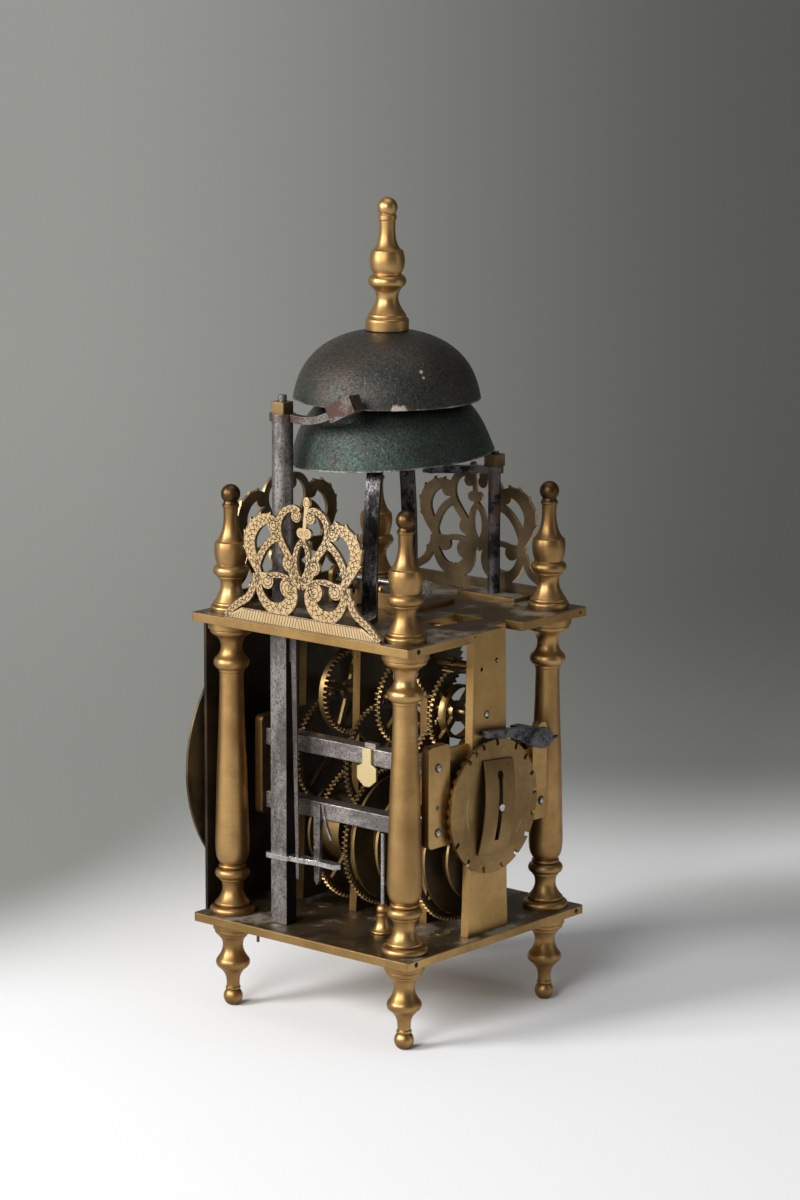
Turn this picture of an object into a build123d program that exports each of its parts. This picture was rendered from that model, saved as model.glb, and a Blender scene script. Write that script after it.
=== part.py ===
from build123d import *
import math
import os

os.makedirs("parts", exist_ok=True)

# A weight-driven lantern clock with a going train and two striking trains, millimetres, +Z up.
# The dial faces -Y and the count wheel +Y. The clock stands on z = 0, on its four ball feet.

# ------------------------------------------------------------------ driving dimensions
# Case
plate_width = 160.0
plate_depth = 161.0
plate_thickness = 5.0
plate_corner = 1.5
foot_height = 51.0
foot_facet = 2.2
pillar_height = 172.0
pillar_inset_x = 16.4
pillar_inset_y = 15.7
spigot_radius = 4.0
spigot_length = 9.0
fit_gap = 0.05
free_gap = 0.3

# Upright bars between the two plates, as depths from the middle of the case
bar_thickness = 5.3
front_bar_y = -56.4
middle_bar_y = -15.3
inner_bar_y = 31.0
rear_bar_y = 68.0
bar_top_half = 14.0
bar_foot_half = 18.0
bar_shoulder_z = 75.0
bar_waist = 3.0
inner_bar_half = 10.0
notch_left = -20.0
notch_right = -3.0
rear_tab_left = -14.0

# Ears of the bars that carry the lever arbors
ear_outer = 53.0
ear_inner = 34.5
ear_bottom = 114.0
ear_top = 172.0
ear_corner = 3.0
ear_root = 6.0
left_ear_outer = -53.0
left_ear_inner = -40.0
left_ear_bottom = 113.0
left_ear_top = 159.0
raised_corner_inner = -45.4
raised_corner_top = 169.5
ear_web_thickness = 2.2
ear_web_inset = 4.0

# Wheel trains: common heights of the arbors and tooth forms
great_z = 100.0
wheel_module = 1.0
great_teeth = 80
second_pinion_teeth = 10
second_teeth = 65
third_pinion_teeth = 8
third_teeth = 50
fly_pinion_teeth = 7
wheel_thickness = 2.4
pinion_length = 5.0
wheel_rim = 3.6
spoke_width = 3.4
hub_radius = 6.0
arbor_radius = 2.2
pivot_radius = 1.2
pivot_length = 2.4
arbor_end_gap = 0.3
lever_end = 1.0
thread_radius = 2.5
barrel_radius = 20.0
cheek_thickness = 1.8

# Tooth forms: tip and root in modules, and the root, pitch and tip widths as shares of the pitch
wheel_form = (0.85, 1.15, (0.56, 0.42, 0.16))
pinion_form = (0.6, 1.2, (0.5, 0.36, 0.16))
count_pinion_form = (0.7, 1.3, (0.5, 0.34, 0.14))
count_ring_form = (1.3, 0.7, (0.84, 0.58, 0.44))
contrate_form = (0.54, 0.24)

# Going train
going_great_y = -21.9
going_second_y = -42.9
contrate_teeth = 48
contrate_y = -31.3
contrate_disc = 2.0
contrate_root_y = -29.1
contrate_tip_y = -26.5
contrate_half_rim = 1.2
contrate_engagement = 1.3
going_cheek_radius = 28.0
going_barrel_front = -38.5
crown_pinion_teeth = 8
crown_teeth = 19
crown_radius = 13.5
crown_band = 1.5
crown_bottom = 236.0
crown_height = 8.0
crown_tooth_height = 3.5
crown_lower_pivot_z = 197.0

# Verge over the crown wheel
verge_rise = 4.6
verge_radius = 1.5
pallet_reach = 4.3
pallet_width = 3.2
pallet_thickness = 0.9
pallet_angle = 45.0
verge_front = -44.0
verge_rear = 20.0
verge_block = 7.6
cock_thickness = 3.0
rear_cock_y = 13.0
rear_cock_radius = 9.0
rear_cock_foot_left = -38.0
cock_bar_front = -8.4
cock_bar_half = 3.2
cock_bar_height = 9.4

# Hour striking train
hour_great_y = -0.2
hour_second_y = -5.9
hour_third_y = 11.5
hour_fly_front = 16.0
hour_fly_rear = 27.0
hour_cheek_radius = 37.0
hour_rear_cheek_radius = 32.0
hour_barrel_front = 3.0
hour_barrel_rear = 18.0

# Quarter striking train
quarter_great_y = 51.4
quarter_second_y = 43.0
quarter_third_y = 51.2
quarter_third_x = 1.7
quarter_fly_x = 7.0
quarter_fly_front = 57.0
quarter_fly_rear = 65.0
quarter_cheek_radius = 36.0
quarter_rear_cheek_radius = 26.0
quarter_barrel_front = 54.6
quarter_barrel_rear = 65.0
ratchet_front = 37.6
ratchet_rear = 42.6
ratchet_teeth = 36
ratchet_depth = 2.6
ratchet_rise = 2.8
hoop_radius = 15.5
hoop_thickness = 1.4
hoop_length = 3.0
fly_radius = 15.5
fly_sheet = 0.8
fly_boss = 3.2
lifting_pins = 8
lifting_pin_circle = 36.7
lifting_pin_radius = 1.1
lifting_pin_length = 2.4

# Count wheel, its toothed ring and its spring plate, outside the rear bar
count_x = 0.6
count_module = 0.918
count_ring_teeth = 73
count_pinion_teeth = 7
count_radius = 38.6
count_notch_depth = 3.8
count_notch_width = 2.4
count_notch_slant = 14.0
count_notches = (52, 63, 74, 93, 121, 139, 158, 176, 196, 216, 237, 259, 284, 308, 332)
count_front = 73.6
count_ring_thickness = 2.6
count_disc_thickness = 1.8
count_ring_radius = 37.2
count_ring_notches = 40
count_ring_notch = 1.6
count_ring_gap = 2.8
stud_radius = 2.6
stud_head_radius = 2.0
spring_half_width = 12.9
spring_half_height = 27.0
spring_shift = 0.5
spring_tilt = 5.0
spring_slot_half = 1.9
spring_slot_height = 38.0
spring_sheet = 1.0
spring_rise = 3.4

# Dial work in front of the front bar
motion_pinion_teeth = 16
motion_wheel_teeth = 60
motion_y = -61.4
dial_plate_half = 70.0
dial_plate_thickness = 1.8
dial_radius = 80.0
dial_thickness = 1.5
dial_gap = 4.1
dial_foot_radius = 3.0
dial_foot_circle = 58.0
chapter_outer = 78.0
chapter_inner = 52.0
chapter_thickness = 1.2
hand_length = 58.0
hand_tail = 26.0
hand_barb = 6.5
hand_boss = 8.0
hand_thickness = 1.4
pipe_radius = 4.2
pipe_wall = 1.4
pipe_cap = 2.0
pipe_cap_radius = 3.6

# Lever arbors
lever_x = 45.0
lever_square = 10.0
lever_pivot_radius = 2.0
upper_lever_z = 159.7
lower_lever_z = 122.6
detent_x = -47.9
detent_z = 123.6
detent_radius = 3.0
detent_pin_tip = -56.4
detent_pin_length = 8.0
detent_pin_z = 160.4

# Bell strap, stud, bells and spire
strap_radius = 35.5
strap_azimuth = 21.5
strap_width = 8.6
strap_thickness = 3.0
strap_spring_z = 250.0
strap_top_z = 358.0
strap_lug = 10.0
bell_stud_x = 1.4
bell_stud_y = -1.7
bell_stud_radius = 3.0
bell_wall = 3.0
lower_bell_radius = 58.4
lower_bell_depth = 42.0
lower_bell_crown_z = 364.2
bell_lean = 4.0
bell_lean_azimuth = -50.0
upper_bell_radius = 53.3
upper_bell_depth = 38.6
upper_bell_crown_z = 393.9
washer_radius = 6.0
spire_height = 74.6
spire_ball = 5.7

# Hammers
hour_post_x = 61.7
hour_post_y = -27.0
hour_post_width = 8.6
hour_post_depth = 12.2
hour_post_round = 6.0
hour_arm_z = 346.4
hour_arm_height = 4.2
hour_nut_side = 9.0
hour_nut_height = 6.6
hour_post_top_z = 361.0
quarter_post_x = -67.5
quarter_post_y = 21.5
quarter_post_round = 3.6
quarter_arm_z = 306.0
quarter_arm_height = 4.0
quarter_nut_side = 9.0
quarter_nut_height = 7.0
bracket_thickness = 2.5

# Frets
fret_thickness = 2.0
fret_inset = 1.1
fret_half_length = 58.4
fret_strip = 7.4
fret_centre = 1.7
fret_lean = 4.4

# ------------------------------------------------------------------ places worked out from them
bottom_plate_top = foot_height + plate_thickness
top_plate_bottom = bottom_plate_top + pillar_height
top_plate_top = top_plate_bottom + plate_thickness
pillar_x = plate_width / 2 - pillar_inset_x
pillar_y = plate_depth / 2 - pillar_inset_y
bore_radius = spigot_radius + fit_gap

second_z = great_z + (great_teeth + second_pinion_teeth) * wheel_module / 2
third_z = second_z + (second_teeth + third_pinion_teeth) * wheel_module / 2
fly_distance = (third_teeth + fly_pinion_teeth) * wheel_module / 2
hour_fly_z = third_z + fly_distance
fly_offset_x = quarter_fly_x - quarter_third_x
quarter_third_z = second_z + math.sqrt((third_z - second_z) ** 2 - quarter_third_x**2)
quarter_fly_z = quarter_third_z + math.sqrt(fly_distance**2 - fly_offset_x**2)
ratchet_radius = top_plate_bottom - quarter_fly_z + ratchet_rise

contrate_radius = contrate_teeth * wheel_module / 2
contrate_z = third_z
crown_pinion_tip = crown_pinion_teeth * wheel_module / 2 + 0.6 * wheel_module
crown_y = contrate_tip_y + crown_pinion_tip - contrate_engagement
crown_pinion_z = contrate_z + contrate_radius
crown_top = crown_bottom + crown_height
verge_z = crown_top + verge_rise

count_distance = (count_ring_teeth - count_pinion_teeth) * count_module / 2
count_z = great_z + math.sqrt(count_distance**2 - count_x**2)
count_direction = math.degrees(math.atan2(great_z - count_z, -count_x))
count_disc_front = count_front + count_ring_thickness
count_disc_rear = count_disc_front + count_disc_thickness
stud_tip = count_disc_rear + free_gap + spring_sheet + spring_rise + 1.2
dial_z = great_z + (motion_pinion_teeth + motion_wheel_teeth) * wheel_module / 2
dial_plate_front = plate_depth / 2 - 0.2
dial_back = dial_plate_front + dial_gap
dial_front = dial_back + dial_thickness
chapter_front = dial_front + chapter_thickness
hand_back = chapter_front + 1.0
front_reach = hand_back + hand_thickness + pipe_cap

# The origin lies under the middle of the whole clock, so the case stands a little behind it.
case_y = (front_reach - stud_tip) / 2


# ------------------------------------------------------------------ shared helpers
def level(z, x=0.0, y=0.0):
    """Horizontal plane at height z, with its origin at (x, y) of the case."""
    return Plane(origin=(x, case_y + y, z))


def upright(y, x=0.0, z=0.0):
    """Plane across the case at depth y, with X to the right and Z up; it extrudes to the front."""
    return Plane(origin=(x, case_y + y, z), x_dir=(1, 0, 0), z_dir=(0, -1, 0))


def sideways(x, y=0.0, z=0.0):
    """Plane along the case at width x, with Y to the right and Z up; it extrudes to +X."""
    return Plane(origin=(x, case_y + y, z), x_dir=(0, 1, 0), z_dir=(1, 0, 0))


def save(part, name):
    part.label = name
    export_step(part, f"parts/{name}.step")


def draw(start, *steps):
    """Draws a closed half section: straight, arc and curve steps from start, then back along the axis."""
    pen = start
    for kind, *points in steps:
        if kind == "line":
            Polyline(pen, *points)
        elif kind == "arc":
            ThreePointArc(pen, *points)
        else:
            Spline(pen, *points)
        pen = points[-1]
    Line(pen, start)


def ball(centre, radius, neck):
    """Steps of a half section: from a neck radius up round a ball to its top on the axis."""
    start = centre - math.sqrt(radius**2 - neck**2)
    return ("line", (neck, start)), ("arc", (radius, centre), (0, centre + radius))


def turned(section, places, z):
    """Lathe work: the half section, revolved about a vertical axis at each place of the case."""
    with BuildPart() as body:
        for x, y in places:
            with BuildSketch(upright(y, x, z)):
                with BuildLine():
                    draw(*section)
                make_face()
            revolve(axis=Axis((x, case_y + y, z), (0, 0, 1)))
    return body.part


def teeth_outline(teeth, module, phase, form):
    """Points round a gear of the given tooth form, two at the root, pitch line and tip of each tooth."""
    tip, root, shares = form
    pitch_radius = teeth * module / 2
    radii = (pitch_radius - root * module, pitch_radius, pitch_radius + tip * module)
    flank = list(zip(radii, shares))
    points = []
    for tooth in range(teeth):
        centre = math.radians(phase) + 2 * math.pi * tooth / teeth
        for side, steps in ((-1, flank), (1, reversed(flank))):
            for radius, share in steps:
                angle = centre + side * share * math.pi / teeth
                points.append((radius * math.cos(angle), radius * math.sin(angle)))
    return points


def gear_face(teeth, phase, form=wheel_form, module=wheel_module, mode=Mode.ADD):
    with BuildLine() as outline:
        Polyline(*teeth_outline(teeth, module, phase, form), close=True)
    make_face(outline.edges(), mode=mode)


def crossings(rim_radius, arms=4, turn=45.0):
    """Opens a wheel inside its rim and leaves its arms and its hub."""
    Circle(rim_radius, mode=Mode.SUBTRACT)
    for arm in range(arms):
        reach = rim_radius + 1.0
        angle = turn + 360.0 * arm / arms
        half = math.radians(angle)
        with Locations((reach / 2 * math.cos(half), reach / 2 * math.sin(half))):
            Rectangle(reach, spoke_width, rotation=angle)
    Circle(hub_radius)


def disc(radius, front, rear, x=0.0, z=0.0):
    """A plain disc or arbor section about an axis along the case; joins the part being built."""
    with BuildSketch(upright(rear, x, z)) as face:
        Circle(radius)
    extrude(face.sketch, amount=rear - front)


def arbor(front_bar, rear_bar, x, z, radius=arbor_radius):
    """An arbor between the faces of two bars, with a thinner pivot in each of them."""
    disc(radius, front_bar + arbor_end_gap, rear_bar - arbor_end_gap, x, z)
    disc(pivot_radius, front_bar - pivot_length, rear_bar + pivot_length, x, z)


def wheel(teeth, y, x, z, phase):
    with BuildSketch(upright(y + wheel_thickness / 2, x, z)) as face:
        gear_face(teeth, phase)
        crossings(teeth * wheel_module / 2 - wheel_rim)
    extrude(face.sketch, amount=wheel_thickness)


def pinion(teeth, y, x, z, phase, length=pinion_length):
    with BuildSketch(upright(y + length / 2, x, z)) as face:
        gear_face(teeth, phase, pinion_form)
    extrude(face.sketch, amount=length)


def gap_phase(teeth, direction):
    """Phase of a gear that has a space between two teeth in the given direction."""
    return direction + 180.0 / teeth


up = 90.0
down = -90.0


# ------------------------------------------------------------------ case: feet, pillars, finials, plates
corners = [(pillar_x, -pillar_y), (-pillar_x, -pillar_y), (pillar_x, pillar_y), (-pillar_x, pillar_y)]
corner_names = ["front_right", "front_left", "rear_right", "rear_left"]

foot_section = (
    (0, 0),
    ("line", (foot_facet, 0)),
    ("arc", (5.6, 5.2), (3.6, 9.6)),
    ("line", (4.3, 9.6), (4.3, 11.0), (3.8, 11.4)),
    ("curve", (3.8, 14.0), (4.5, 18.0), (6.2, 20.8), (8.8, 23.2)),
    ("arc", (9.9, 25.9), (8.9, 28.6)),
    ("curve", (7.0, 31.6), (5.9, 36.0), (7.4, foot_height - 10.0)),
    ("line", (8.2, foot_height - 9.4), (8.2, foot_height - 8.4)),
    ("arc", (9.9, foot_height - 7.6), (10.4, foot_height - 5.2)),
    ("line", (11.4, foot_height - 4.6), (11.4, foot_height), (spigot_radius, foot_height)),
    ("line", (spigot_radius, bottom_plate_top + spigot_length)),
    ("line", (0, bottom_plate_top + spigot_length)),
)
save(turned(foot_section, corners, 0), "feet")

bore_depth = spigot_length + 1.0
pillar_section = (
    (0, bore_depth),
    ("line", (bore_radius, bore_depth), (bore_radius, 0), (13.0, 0), (13.2, 1.4)),
    ("arc", (12.8, 3.2), (11.0, 4.4)),
    ("line", (9.8, 4.6)),
    ("arc", (10.3, 5.7), (9.6, 6.8)),
    ("curve", (8.0, 8.8), (6.2, 13.0), (6.1, 16.0), (7.0, 19.2)),
    ("line", (7.7, 19.4), (7.7, 20.4), (8.6, 20.7)),
    ("arc", (10.1, 23.4), (8.6, 26.1)),
    ("line", (7.3, 26.4)),
    ("arc", (8.0, 27.6), (7.2, 28.8)),
    ("line", (6.9, 29.0)),
    ("curve", (8.8, 31.8), (9.7, 36.0), (9.8, 46.0), (8.7, pillar_height / 2), (6.9, pillar_height - 30.0)),
    ("line", (7.4, pillar_height - 29.6), (7.4, pillar_height - 28.2), (8.8, pillar_height - 27.6)),
    ("arc", (10.3, pillar_height - 24.4), (8.8, pillar_height - 21.2)),
    ("curve", (6.8, pillar_height - 18.4), (6.2, pillar_height - 14.6), (9.2, pillar_height - 8.8)),
    ("line", (11.0, pillar_height - 7.6)),
    ("arc", (12.1, pillar_height - 6.2), (12.1, pillar_height - 4.8)),
    ("line", (13.4, pillar_height - 4.2), (13.4, pillar_height), (bore_radius, pillar_height)),
    ("line", (bore_radius, pillar_height - bore_depth), (0, pillar_height - bore_depth)),
)
for corner, corner_name in zip(corners, corner_names):
    save(turned(pillar_section, [corner], bottom_plate_top), f"pillar_{corner_name}")

finial_section = (
    (0, -plate_thickness - spigot_length),
    ("line", (spigot_radius, -plate_thickness - spigot_length), (spigot_radius, 0)),
    ("line", (11.7, 0), (11.9, 2.6)),
    ("arc", (11.4, 3.8), (10.3, 4.2)),
    ("arc", (10.6, 5.2), (9.8, 6.2)),
    ("curve", (8.2, 8.8), (6.1, 14.6), (6.2, 17.2), (7.4, 19.8)),
    ("line", (7.9, 19.9), (7.9, 20.8), (8.8, 21.2)),
    ("arc", (10.3, 24.0), (8.8, 26.8)),
    ("line", (8.0, 27.4)),
    ("curve", (9.1, 31.6), (9.6, 36.4), (9.0, 40.4)),
    ("line", (8.0, 41.0)),
    ("curve", (5.7, 45.2), (4.4, 50.6), (4.1, 56.0), (4.3, 60.2)),
    ("line", (4.9, 60.6), (4.9, 62.0), (4.3, 62.4)),
    *ball(67.9, 5.6, 3.9),
)
save(turned(finial_section, corners, top_plate_top), "finials")


hour_post_hole = hour_post_round + fit_gap
quarter_post_hole = quarter_post_round + fit_gap
post_pivot_radius = 3.0
post_pivot_depth = 4.4

with BuildPart() as bottom_plate:
    with BuildSketch(level(foot_height)) as plate_sketch:
        Rectangle(plate_width, plate_depth)
        fillet(plate_sketch.vertices(), plate_corner)
        with Locations(*corners):
            Circle(bore_radius, mode=Mode.SUBTRACT)
        with Locations((hour_post_x, hour_post_y), (quarter_post_x, quarter_post_y)):
            Circle(post_pivot_radius + fit_gap, mode=Mode.SUBTRACT)
    extrude(amount=plate_thickness)
    chamfer(bottom_plate.edges().filter_by(Plane.XY).group_by(Axis.Z)[-1].group_by(SortBy.LENGTH)[-1], 0.4)
save(bottom_plate.part, "bottom_plate")

opening_left = -15.0
opening_right = 19.0
opening_front = inner_bar_y + bar_thickness + 0.5
opening_rear = 56.3
crown_hole_radius = arbor_radius + free_gap

with BuildPart() as top_plate:
    with BuildSketch(level(top_plate_bottom)) as plate_sketch:
        Rectangle(plate_width, plate_depth)
        fillet(plate_sketch.vertices(), plate_corner)
        with Locations(*corners):
            Circle(bore_radius, mode=Mode.SUBTRACT)
        with Locations((hour_post_x, hour_post_y)):
            Circle(hour_post_hole, mode=Mode.SUBTRACT)
        with Locations((quarter_post_x, quarter_post_y)):
            Circle(quarter_post_hole, mode=Mode.SUBTRACT)
        with Locations((0, crown_y)):
            Circle(crown_hole_radius, mode=Mode.SUBTRACT)
        with BuildLine():
            Polyline(
                (notch_left, plate_depth / 2 + 1.0),
                (notch_left, rear_bar_y),
                (notch_right, rear_bar_y),
                (notch_right, plate_depth / 2 + 1.0),
                close=True,
            )
        make_face(mode=Mode.SUBTRACT)
        with BuildLine():
            Polyline(
                (opening_left, opening_rear),
                (opening_left, opening_front),
                (opening_right, opening_front),
                (opening_right, opening_rear - 6.0),
                close=True,
            )
        make_face(mode=Mode.SUBTRACT)
    extrude(amount=plate_thickness)
save(top_plate.part, "top_plate")

# Brass plugs that fill two old holes of the bottom plate, standing a hair proud of it
plug_radius = 4.6
plug_height = 0.3
with BuildPart() as plate_plugs:
    with BuildSketch(level(bottom_plate_top)):
        with Locations((19.0, -33.0), (19.7, 56.0)):
            Circle(plug_radius)
    extrude(amount=plug_height)
save(plate_plugs.part, "plate_plugs")


# ------------------------------------------------------------------ bars
def bar_face(top_half, foot_half):
    """Outline of an upright bar; where its foot is wider, it has a shoulder a little above it."""
    waist = bar_waist if foot_half > top_half else 0.0
    with BuildLine() as outline:
        Polyline(
            (-foot_half, bottom_plate_top),
            (foot_half, bottom_plate_top),
            (top_half + waist, bar_shoulder_z),
            (top_half, top_plate_bottom),
            (-top_half, top_plate_bottom),
            (-top_half - waist, bar_shoulder_z),
            close=True,
        )
    make_face(outline.edges())


def ear_face(left, right, low, high):
    """A rounded plate between two widths and two heights."""
    with Locations(((left + right) / 2, (low + high) / 2)):
        RectangleRounded(right - left, high - low, ear_corner)


def holes(y, points, radius):
    """Bores through a bar at the given widths and heights."""
    with BuildSketch(upright(y + bar_thickness)) as face:
        with Locations(*points):
            Circle(radius)
    extrude(face.sketch, amount=bar_thickness, mode=Mode.SUBTRACT)


pivot_bore = pivot_radius + fit_gap
lever_bore = lever_pivot_radius + fit_gap
train_points = [(0, great_z), (0, second_z), (0, third_z)]
lever_points = [(lever_x, upper_lever_z), (lever_x, lower_lever_z)]
great_bore = arbor_radius + fit_gap
post_stud_radius = pipe_radius - pipe_wall - fit_gap

with BuildPart() as front_bar:
    with BuildSketch(upright(front_bar_y + bar_thickness)):
        bar_face(bar_top_half, bar_foot_half)
        ear_face(bar_top_half - ear_root, ear_outer, ear_bottom, ear_top)
        ear_face(left_ear_outer, ear_root - bar_top_half, left_ear_bottom, left_ear_top)
    extrude(amount=bar_thickness)
    holes(front_bar_y, [(0, second_z), (0, third_z)], pivot_bore)
    holes(front_bar_y, [(0, great_z)], great_bore)
    holes(front_bar_y, lever_points + [(detent_x, detent_z)], lever_bore)
    disc(post_stud_radius, -hand_back, front_bar_y, 0, dial_z)
save(front_bar.part, "front_bar")

potence_half = 4.0
potence_height = 5.0
with BuildPart() as middle_bar:
    with BuildSketch(upright(middle_bar_y + bar_thickness)):
        bar_face(bar_top_half, bar_foot_half)
    extrude(amount=bar_thickness)
    holes(middle_bar_y, train_points + [(0, hour_fly_z)], pivot_bore)
save(middle_bar.part, "middle_bar")

# Potence: the small bracket on the middle bar in which the crown wheel arbor turns
with BuildPart() as crown_potence:
    with BuildSketch(level(crown_lower_pivot_z - potence_height)):
        with Locations((0, (crown_y - potence_half + middle_bar_y) / 2)):
            Rectangle(2 * potence_half, middle_bar_y - crown_y + potence_half)
        with Locations((0, crown_y)):
            Circle(pivot_bore, mode=Mode.SUBTRACT)
    extrude(amount=potence_height)
save(crown_potence.part, "crown_potence")

with BuildPart() as inner_bar:
    with BuildSketch(upright(inner_bar_y + bar_thickness)):
        bar_face(inner_bar_half, inner_bar_half)
    extrude(amount=bar_thickness)
    holes(inner_bar_y, train_points, pivot_bore)
    holes(inner_bar_y, [(0, hour_fly_z), (quarter_third_x, quarter_third_z)], pivot_bore)
    holes(inner_bar_y, [(quarter_fly_x, quarter_fly_z)], pivot_bore)
save(inner_bar.part, "inner_bar")

steady_hole = (-6.1, 212.8)
with BuildPart() as rear_bar:
    with BuildSketch(upright(rear_bar_y + bar_thickness)):
        bar_face(bar_top_half, bar_foot_half)
        with Locations(((rear_tab_left + notch_right) / 2, (top_plate_bottom + top_plate_top) / 2)):
            Rectangle(notch_right - rear_tab_left, plate_thickness)
        ear_face(ear_inner, ear_outer, ear_bottom, ear_top)
        ear_face(left_ear_outer, left_ear_inner, left_ear_bottom, left_ear_top)
        ear_face(left_ear_outer, raised_corner_inner, left_ear_top - 2 * ear_root, raised_corner_top)
    extrude(amount=bar_thickness)
    with BuildSketch(upright(rear_bar_y + ear_web_thickness)):
        ear_face(0, ear_inner + ear_root, ear_bottom + ear_web_inset, ear_top - ear_web_inset)
        ear_face(left_ear_inner - ear_root, 0, left_ear_bottom + ear_web_inset, left_ear_top - ear_web_inset)
    extrude(amount=ear_web_thickness)
    holes(rear_bar_y, [(0, second_z), (quarter_third_x, quarter_third_z)], pivot_bore)
    holes(rear_bar_y, [(quarter_fly_x, quarter_fly_z), steady_hole], pivot_bore)
    holes(rear_bar_y, [(0, great_z)], great_bore)
    holes(rear_bar_y, lever_points + [(detent_x, detent_z)], lever_bore)
save(rear_bar.part, "rear_bar")


# ------------------------------------------------------------------ going train
with BuildPart() as going_great_wheel:
    wheel(great_teeth, going_great_y, 0, great_z, up)
    disc(going_cheek_radius, going_barrel_front, going_barrel_front + cheek_thickness, 0, great_z)
    disc(barrel_radius, going_barrel_front, going_great_y, 0, great_z)
    disc(arbor_radius, motion_y - pinion_length / 2 - 1.5, middle_bar_y - arbor_end_gap, 0, great_z)
    disc(pivot_radius, going_great_y, middle_bar_y + pivot_length, 0, great_z)
    pinion(motion_pinion_teeth, motion_y, 0, great_z, gap_phase(motion_pinion_teeth, up))
save(going_great_wheel.part, "going_great_wheel")

front_bar_rear = front_bar_y + bar_thickness
middle_bar_rear = middle_bar_y + bar_thickness
inner_bar_rear = inner_bar_y + bar_thickness
rear_bar_rear = rear_bar_y + bar_thickness

with BuildPart() as going_second_wheel:
    wheel(second_teeth, going_second_y, 0, second_z, up)
    pinion(second_pinion_teeth, going_great_y, 0, second_z, gap_phase(second_pinion_teeth, down))
    arbor(front_bar_rear, middle_bar_y, 0, second_z)
save(going_second_wheel.part, "going_second_wheel")

contrate_outer = contrate_radius + contrate_half_rim
contrate_inner = contrate_radius - contrate_half_rim
contrate_pitch_angle = 360.0 / contrate_teeth
tooth_overlap = 0.4
with BuildPart() as contrate_wheel:
    with BuildSketch(upright(contrate_y + contrate_disc / 2, 0, contrate_z)):
        Circle(contrate_outer)
        crossings(contrate_inner - 1.6, turn=20.0)
    extrude(amount=contrate_disc)
    with BuildSketch(upright(contrate_root_y, 0, contrate_z)):
        Circle(contrate_outer)
        Circle(contrate_inner, mode=Mode.SUBTRACT)
    extrude(amount=contrate_root_y - contrate_y)
    for tooth in range(contrate_teeth):
        turn = math.radians(up + tooth * contrate_pitch_angle)
        root_half, tip_half = (share * wheel_module * math.pi / 2 for share in contrate_form)
        outward = Vector(math.cos(turn), 0, math.sin(turn))
        tooth_plane = Plane(
            origin=Vector(0, case_y + contrate_root_y, contrate_z) + outward * contrate_inner,
            x_dir=(-math.sin(turn), 0, math.cos(turn)),
            z_dir=outward,
        )
        tooth_height = contrate_tip_y - contrate_root_y
        with BuildSketch(tooth_plane):
            with BuildLine():
                Polyline(
                    (-root_half, tooth_overlap),
                    (root_half, tooth_overlap),
                    (tip_half, -tooth_height),
                    (-tip_half, -tooth_height),
                    close=True,
                )
            make_face()
        extrude(amount=2 * contrate_half_rim)
    pinion(third_pinion_teeth, going_second_y, 0, contrate_z, gap_phase(third_pinion_teeth, down))
    arbor(front_bar_rear, middle_bar_y, 0, contrate_z)
save(contrate_wheel.part, "contrate_wheel")

crown_pinion_half = 2.6
crown_web = 1.6
crown_inner = crown_radius - 2.4
crown_tooth_tip = 0.7
crown_undercut = 0.9
notch_half = math.pi * crown_radius / crown_teeth - crown_tooth_tip / 2
with BuildPart() as crown_wheel:
    with BuildSketch(level(crown_bottom, 0, crown_y)):
        Circle(crown_radius)
        Circle(crown_radius - crown_band, mode=Mode.SUBTRACT)
    extrude(amount=crown_height)
    with BuildSketch(level(crown_bottom, 0, crown_y)):
        Circle(crown_radius)
        crossings(crown_inner, arms=3)
    extrude(amount=crown_web)
    for tooth in range(crown_teeth):
        turn = math.radians(up + (tooth + 0.5) * 360.0 / crown_teeth)
        outward = Vector(math.cos(turn), math.sin(turn), 0)
        notch_plane = Plane(
            origin=Vector(0, case_y + crown_y, crown_top) + outward * (crown_radius - 2 * crown_band),
            x_dir=(-math.sin(turn), math.cos(turn), 0),
            z_dir=outward,
        )
        with BuildSketch(notch_plane):
            with BuildLine():
                Polyline(
                    (-notch_half, 0.1),
                    (notch_half, 0.1),
                    (notch_half - crown_undercut, -crown_tooth_height),
                    close=True,
                )
            make_face()
        extrude(amount=3 * crown_band, mode=Mode.SUBTRACT)
    with BuildSketch(level(crown_lower_pivot_z + arbor_end_gap, 0, crown_y)):
        Circle(arbor_radius)
    extrude(amount=crown_bottom + crown_web - crown_lower_pivot_z - arbor_end_gap)
    with BuildSketch(level(crown_lower_pivot_z - potence_height + 0.5, 0, crown_y)):
        Circle(pivot_radius)
    extrude(amount=potence_height)
    with BuildSketch(level(crown_pinion_z - crown_pinion_half, 0, crown_y)):
        gear_face(crown_pinion_teeth, gap_phase(crown_pinion_teeth, down), pinion_form)
    extrude(amount=2 * crown_pinion_half)
save(crown_wheel.part, "crown_wheel")

with BuildPart() as verge:
    disc(verge_radius, verge_front, verge_rear, 0, verge_z)
    for pallet_y, lean in ((crown_y - crown_radius, pallet_angle), (crown_y + crown_radius, -pallet_angle)):
        with BuildSketch(upright(pallet_y + pallet_width / 2, 0, verge_z)):
            with Locations(Rotation(0, 0, lean) * Pos(0, -pallet_reach / 2)):
                Rectangle(pallet_thickness, pallet_reach)
        extrude(amount=pallet_width)
    with BuildSketch(upright(verge_rear + verge_block, 0, verge_z)):
        RectangleRounded(verge_block, verge_block, 0.8)
    extrude(amount=verge_block)
save(verge.part, "verge")

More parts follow.
